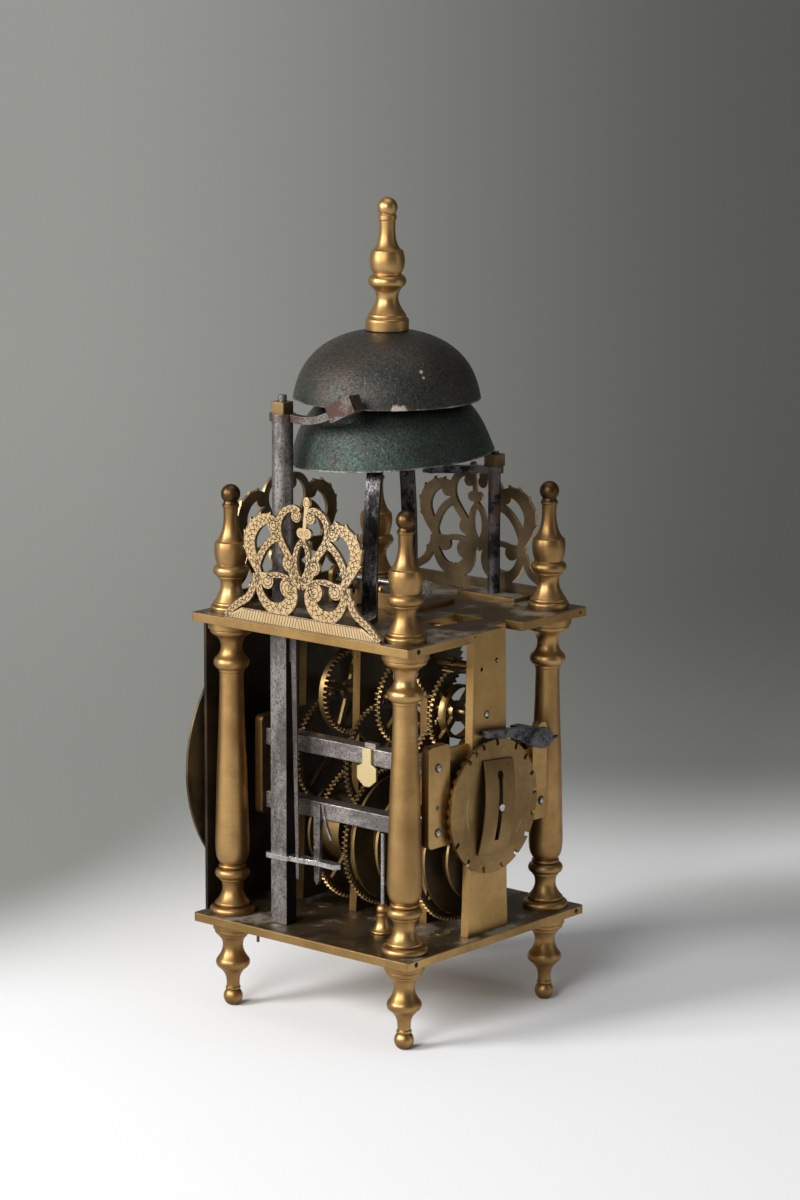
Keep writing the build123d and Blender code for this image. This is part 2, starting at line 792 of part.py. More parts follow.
front_cock_half = 5.0
front_cock_y = verge_front + 1.5
cock_drop = 3.0
cock_foot_height = 2.5
cock_foot_depth = 12.0
rear_cock_z = verge_z - cock_drop
with BuildPart() as verge_cocks:
    with BuildSketch(upright(front_cock_y + cock_thickness)):
        with Locations((0, verge_z)):
            Circle(front_cock_half)
        with Locations((0, (top_plate_top + verge_z) / 2)):
            Rectangle(2 * front_cock_half, verge_z - top_plate_top)
        with Locations((0, verge_z)):
            Circle(verge_radius + fit_gap, mode=Mode.SUBTRACT)
    extrude(amount=cock_thickness)
    with BuildSketch(upright(rear_cock_y + cock_thickness)):
        with Locations((0, rear_cock_z)):
            Circle(rear_cock_radius)
        with Locations((0, (top_plate_top + rear_cock_z) / 2)):
            Rectangle(2 * rear_cock_radius, rear_cock_z - top_plate_top)
        with Locations((0, verge_z)):
            Circle(verge_radius + fit_gap, mode=Mode.SUBTRACT)
    extrude(amount=cock_thickness)
    with BuildSketch(upright(rear_cock_y + cock_thickness)):
        with Locations(((rear_cock_foot_left + rear_cock_radius) / 2, top_plate_top + cock_foot_height / 2)):
            Rectangle(rear_cock_radius - rear_cock_foot_left, cock_foot_height)
    extrude(amount=cock_foot_depth)
    with BuildSketch(upright(rear_cock_y)):
        with Locations((0, top_plate_top + cock_bar_height / 2)):
            Rectangle(2 * cock_bar_half, cock_bar_height)
    extrude(amount=rear_cock_y - cock_bar_front)
save(verge_cocks.part, "verge_cocks")


# ------------------------------------------------------------------ striking trains
def lifting_pin_circle_at(y, z):
    """Hammer lifting pins on the front face of a great wheel."""
    with BuildSketch(upright(y - wheel_thickness / 2, 0, z)) as face:
        with PolarLocations(lifting_pin_circle, lifting_pins, 180.0 / lifting_pins):
            Circle(lifting_pin_radius)
    extrude(face.sketch, amount=lifting_pin_length)


def fly_blades(front, rear, x, z):
    """Two thin air-brake vanes in one sheet across the arbor."""
    with BuildSketch(upright(rear, x, z)) as face:
        Rectangle(2 * fly_radius, fly_sheet)
        Circle(fly_boss)
    extrude(face.sketch, amount=rear - front)


with BuildPart() as hour_great_wheel:
    wheel(great_teeth, hour_great_y, 0, great_z, up)
    lifting_pin_circle_at(hour_great_y, great_z)
    disc(hour_cheek_radius, hour_barrel_front, hour_barrel_front + cheek_thickness, 0, great_z)
    disc(barrel_radius, hour_great_y, hour_barrel_rear, 0, great_z)
    disc(hour_rear_cheek_radius, hour_barrel_rear - cheek_thickness, hour_barrel_rear, 0, great_z)
    arbor(middle_bar_rear, inner_bar_y, 0, great_z)
save(hour_great_wheel.part, "hour_great_wheel")

with BuildPart() as hour_second_wheel:
    wheel(second_teeth, hour_second_y, 0, second_z, up)
    pinion(second_pinion_teeth, hour_great_y, 0, second_z, gap_phase(second_pinion_teeth, down))
    arbor(middle_bar_rear, inner_bar_y, 0, second_z)
save(hour_second_wheel.part, "hour_second_wheel")

with BuildPart() as hour_third_wheel:
    wheel(third_teeth, hour_third_y, 0, third_z, up)
    pinion(third_pinion_teeth, hour_second_y, 0, third_z, gap_phase(third_pinion_teeth, down))
    arbor(middle_bar_rear, inner_bar_y, 0, third_z)
save(hour_third_wheel.part, "hour_third_wheel")

with BuildPart() as hour_fly:
    pinion(fly_pinion_teeth, hour_third_y, 0, hour_fly_z, gap_phase(fly_pinion_teeth, down))
    fly_blades(hour_fly_front, hour_fly_rear, 0, hour_fly_z)
    arbor(middle_bar_rear, inner_bar_y, 0, hour_fly_z)
save(hour_fly.part, "hour_fly")

count_pinion_rear = count_disc_front - 0.4
count_pinion_length = count_ring_thickness - 0.5
third_direction = math.degrees(math.atan2(quarter_third_z - second_z, quarter_third_x))
fly_direction = math.degrees(math.atan2(quarter_fly_z - quarter_third_z, fly_offset_x))

with BuildPart() as quarter_great_wheel:
    wheel(great_teeth, quarter_great_y, 0, great_z, up)
    lifting_pin_circle_at(quarter_great_y, great_z)
    disc(barrel_radius, quarter_great_y, quarter_barrel_rear, 0, great_z)
    disc(quarter_cheek_radius, quarter_barrel_front, quarter_barrel_front + cheek_thickness, 0, great_z)
    disc(quarter_rear_cheek_radius, quarter_barrel_rear - cheek_thickness, quarter_barrel_rear, 0, great_z)
    disc(arbor_radius, inner_bar_rear + arbor_end_gap, count_pinion_rear, 0, great_z)
    disc(pivot_radius, inner_bar_rear - pivot_length, quarter_great_y, 0, great_z)
    with BuildSketch(upright(count_pinion_rear, 0, great_z)):
        gear_face(
            count_pinion_teeth,
            gap_phase(count_pinion_teeth, count_direction),
            count_pinion_form,
            count_module,
        )
    extrude(amount=count_pinion_length)
save(quarter_great_wheel.part, "quarter_great_wheel")

with BuildPart() as quarter_second_wheel:
    wheel(second_teeth, quarter_second_y, 0, second_z, third_direction)
    pinion(second_pinion_teeth, quarter_great_y, 0, second_z, gap_phase(second_pinion_teeth, down))
    arbor(inner_bar_rear, rear_bar_y, 0, second_z)
save(quarter_second_wheel.part, "quarter_second_wheel")

with BuildPart() as quarter_third_wheel:
    wheel(third_teeth, quarter_third_y, quarter_third_x, quarter_third_z, fly_direction)
    hoop_rear = quarter_third_y + wheel_thickness / 2 + hoop_length
    with BuildSketch(upright(hoop_rear, quarter_third_x, quarter_third_z)):
        Circle(hoop_radius)
        Circle(hoop_radius - hoop_thickness, mode=Mode.SUBTRACT)
    extrude(amount=hoop_length + wheel_thickness)
    pinion(
        third_pinion_teeth,
        quarter_second_y,
        quarter_third_x,
        quarter_third_z,
        gap_phase(third_pinion_teeth, third_direction + 180.0),
    )
    arbor(inner_bar_rear, rear_bar_y, quarter_third_x, quarter_third_z)
save(quarter_third_wheel.part, "quarter_third_wheel")

with BuildPart() as quarter_fly:
    pinion(
        fly_pinion_teeth,
        quarter_third_y,
        quarter_fly_x,
        quarter_fly_z,
        gap_phase(fly_pinion_teeth, fly_direction + 180.0),
    )
    fly_blades(quarter_fly_front, quarter_fly_rear, quarter_fly_x, quarter_fly_z)
    arbor(inner_bar_rear, rear_bar_y, quarter_fly_x, quarter_fly_z)
    with BuildSketch(upright(ratchet_rear, quarter_fly_x, quarter_fly_z)):
        with BuildLine():
            ratchet_points = []
            for tooth in range(ratchet_teeth):
                root = 2 * math.pi * tooth / ratchet_teeth
                tip = root + 0.5 * math.pi / ratchet_teeth
                inner = ratchet_radius - ratchet_depth
                ratchet_points.append((inner * math.cos(root), inner * math.sin(root)))
                ratchet_points.append((ratchet_radius * math.cos(tip), ratchet_radius * math.sin(tip)))
            Polyline(*ratchet_points, close=True)
        make_face()
    extrude(amount=ratchet_rear - ratchet_front)
save(quarter_fly.part, "quarter_fly")


# ------------------------------------------------------------------ count wheel
with BuildPart() as count_wheel:
    with BuildSketch(upright(count_disc_rear, count_x, count_z)):
        Circle(count_radius)
        Circle(stud_radius + fit_gap, mode=Mode.SUBTRACT)
        # Notches that let the detent fall, each set a little askew of the radius
        for angle in count_notches:
            turn = math.radians(angle)
            slanted = angle - count_notch_slant
            with Locations((count_radius * math.cos(turn), count_radius * math.sin(turn))):
                Rectangle(2 * count_notch_depth, count_notch_width, rotation=slanted, mode=Mode.SUBTRACT)
    extrude(amount=count_disc_thickness)
    with BuildSketch(upright(count_disc_front, count_x, count_z)):
        Circle(count_ring_radius)
        gear_face(
            count_ring_teeth,
            gap_phase(count_ring_teeth, count_direction),
            count_ring_form,
            count_module,
            Mode.SUBTRACT,
        )
        for notch in range(count_ring_notches):
            angle = 360.0 * notch / count_ring_notches
            turn = math.radians(angle)
            with Locations((count_ring_radius * math.cos(turn), count_ring_radius * math.sin(turn))):
                Rectangle(2 * count_ring_notch, count_ring_gap, rotation=angle, mode=Mode.SUBTRACT)
    extrude(amount=count_ring_thickness)
save(count_wheel.part, "count_wheel")

with BuildPart() as count_stud:
    disc(stud_radius, rear_bar_rear, count_disc_rear + free_gap, count_x, count_z)
    disc(stud_head_radius, count_disc_rear, stud_tip, count_x, count_z)
save(count_stud.part, "count_stud")

spring_front = count_disc_rear + free_gap
with BuildPart() as count_spring:
    with BuildSketch(sideways(count_x + spring_shift - spring_half_width, 0, count_z)):
        with BuildLine():
            ends = spring_front
            bow = spring_front + spring_rise
            ThreePointArc((ends, -spring_half_height), (bow, 0), (ends, spring_half_height))
            Line((ends, spring_half_height), (ends + spring_sheet, spring_half_height))
            ThreePointArc(
                (ends + spring_sheet, spring_half_height),
                (bow + spring_sheet, 0),
                (ends + spring_sheet, -spring_half_height),
            )
            Line((ends + spring_sheet, -spring_half_height), (ends, -spring_half_height))
        make_face()
    extrude(amount=2 * spring_half_width)
    with BuildSketch(upright(stud_tip, count_x, count_z)):
        Rectangle(2 * spring_slot_half, spring_slot_height)
        with Locations((0, spring_slot_height / 2 - 1.0)):
            Circle(spring_slot_half + 1.0)
        Circle(stud_head_radius + fit_gap)
    extrude(amount=10.0, mode=Mode.SUBTRACT)
count_line = Axis((count_x, case_y, count_z), (0, 1, 0))
save(count_spring.part.rotate(count_line, -spring_tilt), "count_spring")


# ------------------------------------------------------------------ dial work
with BuildPart() as motion_wheel:
    with BuildSketch(upright(motion_y + wheel_thickness / 2, 0, dial_z)):
        gear_face(motion_wheel_teeth, down)
        crossings(motion_wheel_teeth * wheel_module / 2 - wheel_rim)
        Circle(pipe_radius - pipe_wall, mode=Mode.SUBTRACT)
    extrude(amount=wheel_thickness)
    with BuildSketch(upright(motion_y + wheel_thickness / 2, 0, dial_z)):
        Circle(pipe_radius)
        Circle(pipe_radius - pipe_wall, mode=Mode.SUBTRACT)
    extrude(amount=motion_y + wheel_thickness / 2 + hand_back)
save(motion_wheel.part, "motion_wheel")

pipe_hole = pipe_radius + free_gap
with BuildPart() as front_plate:
    with BuildSketch(upright(-dial_plate_front + dial_plate_thickness)):
        with Locations((0, (bottom_plate_top + top_plate_bottom) / 2)):
            Rectangle(2 * dial_plate_half, pillar_height)
        with Locations((0, dial_z)):
            Circle(pipe_hole, mode=Mode.SUBTRACT)
    extrude(amount=dial_plate_thickness)
save(front_plate.part, "front_plate")

with BuildPart() as dial:
    with BuildSketch(upright(-dial_back, 0, dial_z)):
        Circle(dial_radius)
        Circle(pipe_hole, mode=Mode.SUBTRACT)
    extrude(amount=dial_thickness)
    with BuildSketch(upright(-dial_plate_front, 0, dial_z)):
        with PolarLocations(dial_foot_circle, 4, 45.0):
            Circle(dial_foot_radius)
    extrude(amount=dial_gap)
save(dial.part, "dial")

with BuildPart() as chapter_ring:
    with BuildSketch(upright(-dial_front, 0, dial_z)):
        Circle(chapter_outer)
        Circle(chapter_inner, mode=Mode.SUBTRACT)
    extrude(amount=chapter_thickness)
save(chapter_ring.part, "chapter_ring")

with BuildPart() as hour_hand:
    with BuildSketch(upright(-hand_back, 0, dial_z)):
        Circle(hand_boss)
        # Arrow head and stem above the boss, a short tail below it
        with BuildLine():
            Polyline(
                (-2.2, 0),
                (-1.8, 30.0),
                (-hand_barb, 36.0),
                (0, hand_length),
                (hand_barb, 36.0),
                (1.8, 30.0),
                (2.2, 0),
                close=True,
            )
        make_face()
        with BuildLine():
            Polyline((-1.6, 0), (-3.2, -20.0), (0, -hand_tail), (3.2, -20.0), (1.6, 0), close=True)
        make_face()
    extrude(amount=hand_thickness)
    with BuildSketch(upright(-hand_back - hand_thickness, 0, dial_z)):
        Circle(pipe_cap_radius)
    extrude(amount=pipe_cap)
save(hour_hand.part, "hour_hand")


# ------------------------------------------------------------------ lever arbors
def lever_arbor(x, z, half):
    """A square arbor from the front ear to the rear ear, with a round pivot in each."""
    front = front_bar_y + bar_thickness + arbor_end_gap
    rear = rear_bar_y - arbor_end_gap
    with BuildSketch(upright(rear, x, z)) as face:
        RectangleRounded(2 * half, 2 * half, 0.8)
    extrude(face.sketch, amount=rear - front)
    disc(lever_pivot_radius, front_bar_y - lever_end, rear_bar_rear + lever_end, x, z)


tab_y = 26.5
tab_neck_half = 3.2
tab_half = 7.0
tab_point_half = 2.0
tab_thickness = 1.6
hook_length = 8.0
hook_width = 4.0
hook_height = 2.4
with BuildPart() as upper_lever:
    lever_arbor(lever_x, upper_lever_z, lever_square / 2)
    # Hooked end of the lifting piece, bent over the top of the arbor
    with BuildSketch(upright(tab_y + hook_length / 2)):
        with Locations((lever_x + 1.5, upper_lever_z + (lever_square + hook_height) / 2)):
            Rectangle(hook_width, hook_height)
    extrude(amount=hook_length)
save(upper_lever.part, "upper_lever")

tab_top = upper_lever_z + lever_square / 2
with BuildPart() as lifting_tab:
    with BuildSketch(sideways(lever_x + lever_square / 2)):
        with BuildLine():
            Polyline(
                (tab_y - tab_neck_half, tab_top),
                (tab_y - tab_neck_half, tab_top - 9.0),
                (tab_y - tab_half, tab_top - 11.0),
                (tab_y - tab_half, tab_top - 18.0),
                (tab_y - tab_point_half, tab_top - 22.0),
                (tab_y + tab_point_half, tab_top - 22.0),
                (tab_y + tab_half, tab_top - 18.0),
                (tab_y + tab_half, tab_top - 11.0),
                (tab_y + tab_neck_half, tab_top - 9.0),
                (tab_y + tab_neck_half, tab_top),
                close=True,
            )
        make_face()
    extrude(amount=tab_thickness)
save(lifting_tab.part, "lifting_tab")

hanging_arm_y = -10.0
with BuildPart() as lower_lever:
    lever_arbor(lever_x, lower_lever_z, lever_square / 2)
    with BuildSketch(sideways(lever_x + lever_square / 2)):
        with BuildLine():
            Polyline(
                (hanging_arm_y - 2.4, lower_lever_z + 4.0),
                (hanging_arm_y + 2.4, lower_lever_z + 4.0),
                (hanging_arm_y + 1.8, 82.0),
                (hanging_arm_y, 79.0),
                (hanging_arm_y - 1.8, 82.0),
                close=True,
            )
        make_face()
    extrude(amount=2.6)
    with BuildSketch(sideways(lever_x + lever_square / 2)):
        with BuildLine():
            ThreePointArc((-6.0, lower_lever_z + 4.0), (-3.4, 115.0), (0.4, 107.0))
            Line((0.4, 107.0), (-0.8, 106.4))
            ThreePointArc((-0.8, 106.4), (-4.8, 115.0), (-7.4, lower_lever_z + 4.0))
            Line((-7.4, lower_lever_z + 4.0), (-6.0, lower_lever_z + 4.0))
        make_face()
    extrude(amount=1.4)
save(lower_lever.part, "lower_lever")

arm_rear = count_disc_rear + 2.0
arm_thickness = 4.6
root_front = 62.0
root_thickness = 5.0
bridge_left = -40.0
bridge_right = -33.0
bridge_bottom = 163.0
bridge_top = 168.6
with BuildPart() as count_detent:
    disc(detent_radius, front_bar_rear + arbor_end_gap, rear_bar_y - arbor_end_gap, detent_x, detent_z)
    disc(lever_pivot_radius, front_bar_y - lever_end, rear_bar_rear + lever_end, detent_x, detent_z)
    # Arm that rises from the arbor inside the rear bar
    with BuildSketch(upright(root_front + root_thickness)):
        with BuildLine():
            Polyline(
                (detent_x - 3.6, detent_z - 4.0),
                (detent_x + 3.6, detent_z - 4.0),
                (bridge_right, bridge_bottom),
                (bridge_right, bridge_top),
                (bridge_left, bridge_top),
                (bridge_left, bridge_bottom),
                close=True,
            )
        make_face()
    extrude(amount=root_thickness)
    # Bridge beside the raised corner of the rear bar, out to the count wheel
    with BuildSketch(upright(arm_rear)):
        with Locations(((bridge_left + bridge_right) / 2, (bridge_bottom + bridge_top) / 2)):
            Rectangle(bridge_right - bridge_left, bridge_top - bridge_bottom)
    extrude(amount=arm_rear - root_front)
    # Forged arm that lies along the top of the count wheel, thick at its outer end
    with BuildSketch(upright(arm_rear)):
        with BuildLine():
            Polyline(
                (-15.4, 167.2),
                (8.8, 171.2),
                (8.8, 174.8),
                (2.4, 174.5),
                (-11.9, 173.1),
                (-46.1, 167.6),
                (-49.4, 164.4),
                (-50.7, 160.0),
            )
            ThreePointArc((-50.7, 160.0), (-44.0, 156.6), (-37.0, 157.4))
            Polyline((-37.0, 157.4), (-25.0, 162.4), (-15.4, 167.2))
        make_face()
    extrude(amount=arm_thickness)
    with BuildSketch(sideways(detent_pin_tip, arm_rear - arm_thickness / 2, detent_pin_z)):
        Circle(1.1)
    extrude(amount=detent_pin_length)
save(count_detent.part, "count_detent")

# Turned lock knob on the bottom plate, with the rod that rises from it to the lower lever
knob_x = 45.0
knob_y = 33.0
rod_radius = 1.1
rod_top = lower_lever_z - 7.1
knob_section = (
    (0, 0),
    ("line", (6.4, 0), (6.4, 1.6)),
    ("arc", (6.9, 2.4), (6.2, 3.3)),
    ("curve", (4.5, 5.6), (3.6, 9.0), (3.8, 12.2)),
    ("line", (2.9, 13.0)),
    ("arc", (3.5, 16.0), (rod_radius + fit_gap, 18.4)),
    ("line", (rod_radius + fit_gap, 12.0), (0, 12.0)),
)
save(turned(knob_section, [(knob_x, knob_y)], bottom_plate_top), "lock_knob")

with BuildPart() as lock_rod:
    with BuildSketch(level(bottom_plate_top + 12.0, knob_x, knob_y)):
        Circle(rod_radius)
    extrude(amount=rod_top - bottom_plate_top - 12.0)
save(lock_rod.part, "lock_rod")


# ------------------------------------------------------------------ hammers
hour_seat_z = bottom_plate_top + free_gap
hour_square_top = top_plate_bottom - free_gap
nut_bore = thread_radius + fit_gap
with BuildPart() as hour_hammer_post:
    with BuildSketch(level(hour_seat_z, hour_post_x, hour_post_y)):
        RectangleRounded(hour_post_width, hour_post_depth, 0.6)
    extrude(amount=hour_square_top - hour_seat_z)
    with BuildSketch(level(bottom_plate_top - post_pivot_depth, hour_post_x, hour_post_y)):
        Circle(post_pivot_radius)
    extrude(amount=post_pivot_depth + 1.0)
    with BuildSketch(level(hour_square_top, hour_post_x, hour_post_y)):
        Circle(hour_post_round)
    extrude(amount=hour_arm_z - hour_square_top)
    with BuildSketch(level(hour_arm_z, hour_post_x, hour_post_y)):
        Circle(thread_radius)
    extrude(amount=hour_post_top_z - hour_arm_z)
save(hour_hammer_post.part, "hour_hammer_post")

arm_half = 2.6
head_y = 18.0
head_x = 60.6
head_z = 357.4
head_tilt = 25.0
head_width = 9.0
head_length = 19.0
head_height = 10.0
arm_x = hour_post_x - 1.2
arm_start = hour_post_y + hour_post_round + 0.2
with BuildPart() as hour_hammer:
    with BuildSketch(level(hour_arm_z, hour_post_x, hour_post_y)):
        Circle(hour_post_round + 1.4)
        Circle(nut_bore, mode=Mode.SUBTRACT)
    extrude(amount=hour_arm_height)
    # Curved arm from the collar up to the head
    with BuildSketch(sideways(arm_x - arm_half)):
        with BuildLine():
            Line((arm_start, hour_arm_z), (arm_start, hour_arm_z + hour_arm_height))
            Spline(
                (arm_start, hour_arm_z + hour_arm_height),
                (-12.0, hour_arm_z + 3.6),
                (0.0, hour_arm_z + 5.4),
                (10.0, head_z - 1.0),
            )
            Line((10.0, head_z - 1.0), (12.0, head_z - 5.0))
            Spline(
                (12.0, head_z - 5.0),
                (1.5, hour_arm_z + 1.4),
                (-12.0, hour_arm_z - 0.6),
                (arm_start, hour_arm_z),
            )
        make_face()
    extrude(amount=2 * arm_half)
    with BuildSketch(sideways(head_x - head_width / 2, head_y, head_z).rotated((head_tilt, 0, 0))):
        RectangleRounded(head_length, head_height, 1.0)
    extrude(amount=head_width)
save(hour_hammer.part, "hour_hammer")

with BuildPart() as hour_hammer_nut:
    with BuildSketch(level(hour_arm_z + hour_arm_height, hour_post_x, hour_post_y)):
        RectangleRounded(hour_nut_side, hour_nut_side, 0.8)
        Circle(nut_bore, mode=Mode.SUBTRACT)
    extrude(amount=hour_nut_height)
save(hour_hammer_nut.part, "hour_hammer_nut")

tail_z = 94.6
tail_thickness = 2.8
tail_end = 16.0
tail_collar = 2.5
strip_y = -15.2
strip_foot_z = 84.0
strip_clip = 16.0
with BuildPart() as hour_hammer_tail:
    with BuildSketch(level(tail_z)):
        with Locations((hour_post_x, hour_post_y)):
            RectangleRounded(hour_post_width + 2 * tail_collar, hour_post_depth + 2 * tail_collar, 2.0)
        with BuildLine():
            Polyline(
                (hour_post_x - 3.0, hour_post_y + 6.0),
                (hour_post_x + 4.6, hour_post_y + 6.0),
                (hour_post_x + 4.6, strip_y + 4.0),
                (hour_post_x + 2.6, 0.0),
                (hour_post_x + 3.4, tail_end - 3.0),
                (hour_post_x, tail_end),
                (hour_post_x - 3.0, tail_end - 3.0),
                (hour_post_x - 2.4, 0.0),
                close=True,
            )
        make_face()
        with Locations((hour_post_x, hour_post_y)):
            Rectangle(hour_post_width + 2 * fit_gap, hour_post_depth + 2 * fit_gap, mode=Mode.SUBTRACT)
        with Locations((hour_post_x + 1.4, strip_y + 0.6)):
            Rectangle(2.4, 4.0, mode=Mode.SUBTRACT)
    extrude(amount=tail_thickness)
save(hour_hammer_tail.part, "hour_hammer_tail")

strip_x = hour_post_x + 0.9
strip_top = hour_square_top - 2.0
post_side = hour_post_y + hour_post_depth / 2
with BuildPart() as hour_hammer_strip:
    with BuildSketch(sideways(strip_x)):
        with BuildLine():
            Polyline(
                (post_side, strip_top),
                (post_side + 5.0, strip_top),
                (strip_y + 1.4, strip_foot_z),
                (strip_y - 0.6, strip_foot_z),
                (post_side + 1.6, strip_top - strip_clip),
                (post_side, strip_top - strip_clip),
                close=True,
            )
        make_face()
    extrude(amount=1.0)
save(hour_hammer_strip.part, "hour_hammer_strip")

bracket_left = -75.6
bracket_right = -59.8
bracket_length = 43.0
with BuildPart() as quarter_bracket:
    with BuildSketch(level(top_plate_top)):
        with Locations(((bracket_left + bracket_right) / 2, quarter_post_y)):
            RectangleRounded(bracket_right - bracket_left, bracket_length, 1.0)
        with Locations((quarter_post_x, quarter_post_y)):
            Circle(quarter_post_hole, mode=Mode.SUBTRACT)
    extrude(amount=bracket_thickness)
save(quarter_bracket.part, "quarter_bracket")

with BuildPart() as quarter_hammer_post:
    with BuildSketch(level(bottom_plate_top + free_gap, quarter_post_x, quarter_post_y)):
        Circle(quarter_post_round)
    extrude(amount=quarter_arm_z - bottom_plate_top - free_gap)
    with BuildSketch(level(bottom_plate_top - post_pivot_depth, quarter_post_x, quarter_post_y)):
        Circle(post_pivot_radius)
    extrude(amount=post_pivot_depth + 1.0)
    with BuildSketch(level(quarter_arm_z, quarter_post_x, quarter_post_y)):
        Circle(thread_radius)
    extrude(amount=quarter_arm_height + quarter_nut_height + 1.5)
save(quarter_hammer_post.part, "quarter_hammer_post")

quarter_head = (-45.0, -7.0)
quarter_head_side = 8.0
quarter_head_height = 24.0
with BuildPart() as quarter_hammer:
    with BuildSketch(level(quarter_arm_z)):
        with Locations((quarter_post_x, quarter_post_y)):
            Circle(quarter_post_round + 1.6)
        with BuildLine():
            Polyline(
                (quarter_post_x - 2.0, quarter_post_y - 2.0),
                (quarter_post_x + 3.0, quarter_post_y + 2.0),
                (quarter_head[0] + 3.0, quarter_head[1] + 2.0),
                (quarter_head[0] - 2.0, quarter_head[1] - 2.0),
                close=True,
            )
        make_face()
        with Locations((quarter_post_x, quarter_post_y)):
            Circle(nut_bore, mode=Mode.SUBTRACT)
    extrude(amount=quarter_arm_height)
    with BuildSketch(level(quarter_arm_z, *quarter_head)):
        RectangleRounded(quarter_head_side, quarter_head_side, 1.0)
    extrude(amount=quarter_head_height)
save(quarter_hammer.part, "quarter_hammer")

with BuildPart() as quarter_hammer_nut:
    with BuildSketch(level(quarter_arm_z + quarter_arm_height, quarter_post_x, quarter_post_y)):
        RectangleRounded(quarter_nut_side, quarter_nut_side, 0.8)
        Circle(nut_bore, mode=Mode.SUBTRACT)
    extrude(amount=quarter_nut_height)
save(quarter_hammer_nut.part, "quarter_hammer_nut")


# ------------------------------------------------------------------ bell strap, bells and spire
strap_turn = math.radians(strap_azimuth)
strap_across = (math.cos(strap_turn), math.sin(strap_turn), 0)
strap_normal = (math.sin(strap_turn), -math.cos(strap_turn), 0)
strap_plane = Plane(origin=(0, case_y, 0), x_dir=strap_across, z_dir=strap_normal)


def arch_face(radius, top, mode=Mode.ADD):
    """A tall arch: straight legs up to the springing height, then half an ellipse."""
    with BuildLine() as outline:
        Line((-radius, top_plate_top), (radius, top_plate_top))
        Line((radius, top_plate_top), (radius, strap_spring_z))
        EllipticalCenterArc((0, strap_spring_z), radius, top - strap_spring_z, start_angle=0, arc_size=180)
        Line((-radius, strap_spring_z), (-radius, top_plate_top))
    make_face(outline.edges(), mode=mode)


half_strap = strap_thickness / 2
with BuildPart() as bell_strap:
    with BuildSketch(strap_plane.offset(-strap_width / 2)):
        arch_face(strap_radius + half_strap, strap_top_z)
        arch_face(strap_radius - half_strap, strap_top_z - strap_thickness, Mode.SUBTRACT)
        for side in (-1, 1):
            with Locations((side * (strap_radius + strap_lug / 2), top_plate_top + half_strap)):
                Rectangle(strap_lug + strap_thickness, strap_thickness)
    extrude(amount=strap_width)
    with BuildSketch(level(strap_top_z + 2.0, bell_stud_x, bell_stud_y)):
        Circle(bell_stud_radius + fit_gap)
    extrude(amount=-12.0, mode=Mode.SUBTRACT)
save(bell_strap.part, "bell_strap")

lean = math.radians(bell_lean)
lean_turn = math.radians(bell_lean_azimuth)
lean_axis = Vector(math.sin(lean) * math.cos(lean_turn), math.sin(lean) * math.sin(lean_turn), math.cos(lean))
lean_side = Vector(-math.sin(lean_turn), math.cos(lean_turn), 0)
crown_point = Vector(bell_stud_x, case_y + bell_stud_y, lower_bell_crown_z)
lean_section = Plane(origin=crown_point, x_dir=lean_side, z_dir=lean_side.cross(lean_axis))
lean_line = Axis(crown_point, lean_axis)
bell_bore = bell_stud_radius + 0.8


def bell_section(radius, depth, curve):
    """Half section of a bell, from the hole in its crown at height 0 down to its rim."""
    outer = [(radius * across, -depth * down_share) for across, down_share in curve]
    inner_radius = radius - bell_wall
    inner_depth = depth - bell_wall
    inner = [(inner_radius * across, -bell_wall - inner_depth * down_share) for across, down_share in curve]
    with BuildLine() as outline:
        Line((bell_bore, -bell_wall), (bell_bore, 0))
        Line((bell_bore, 0), outer[0])
        Spline(*outer)
        Line(outer[-1], inner[-1])
        Spline(*reversed(inner))
        Line(inner[0], (bell_bore, -bell_wall))
    make_face(outline.edges())


lower_curve = [(0.16, 0.0), (0.4, 0.05), (0.62, 0.18), (0.78, 0.36), (0.88, 0.56), (0.95, 0.79), (1.0, 1.0)]
upper_curve = [(0.16, 0.0), (0.4, 0.06), (0.6, 0.17), (0.77, 0.34), (0.895, 0.56), (0.97, 0.81), (1.0, 1.0)]

with BuildPart() as lower_bell:
    with BuildSketch(lean_section):
        bell_section(lower_bell_radius, lower_bell_depth, lower_curve)
    revolve(axis=lean_line)
save(lower_bell.part, "lower_bell")

upper_bell_bottom = upper_bell_crown_z - bell_wall
with BuildPart() as upper_bell:
    with BuildSketch(upright(bell_stud_y, bell_stud_x, upper_bell_crown_z)):
        bell_section(upper_bell_radius, upper_bell_depth, upper_curve)
    revolve(axis=Axis((bell_stud_x, case_y + bell_stud_y, 0), (0, 0, 1)))
save(upper_bell.part, "upper_bell")

washer_play = 0.5
stud_bore = bell_stud_radius + fit_gap
with BuildPart() as bell_spacers:
    # A washer under the leaning bell, one on it, and the sleeve that carries the upper bell
    with BuildSketch(level(strap_top_z, bell_stud_x, bell_stud_y)):
        Circle(washer_radius)
        Circle(stud_bore, mode=Mode.SUBTRACT)
    extrude(amount=lower_bell_crown_z - bell_wall - washer_play - strap_top_z)
    with BuildSketch(level(lower_bell_crown_z + washer_play, bell_stud_x, bell_stud_y)):
        Circle(washer_radius)
        Circle(stud_bore, mode=Mode.SUBTRACT)
    extrude(amount=upper_bell_bottom - lower_bell_crown_z - washer_play)
save(bell_spacers.part, "bell_spacers")

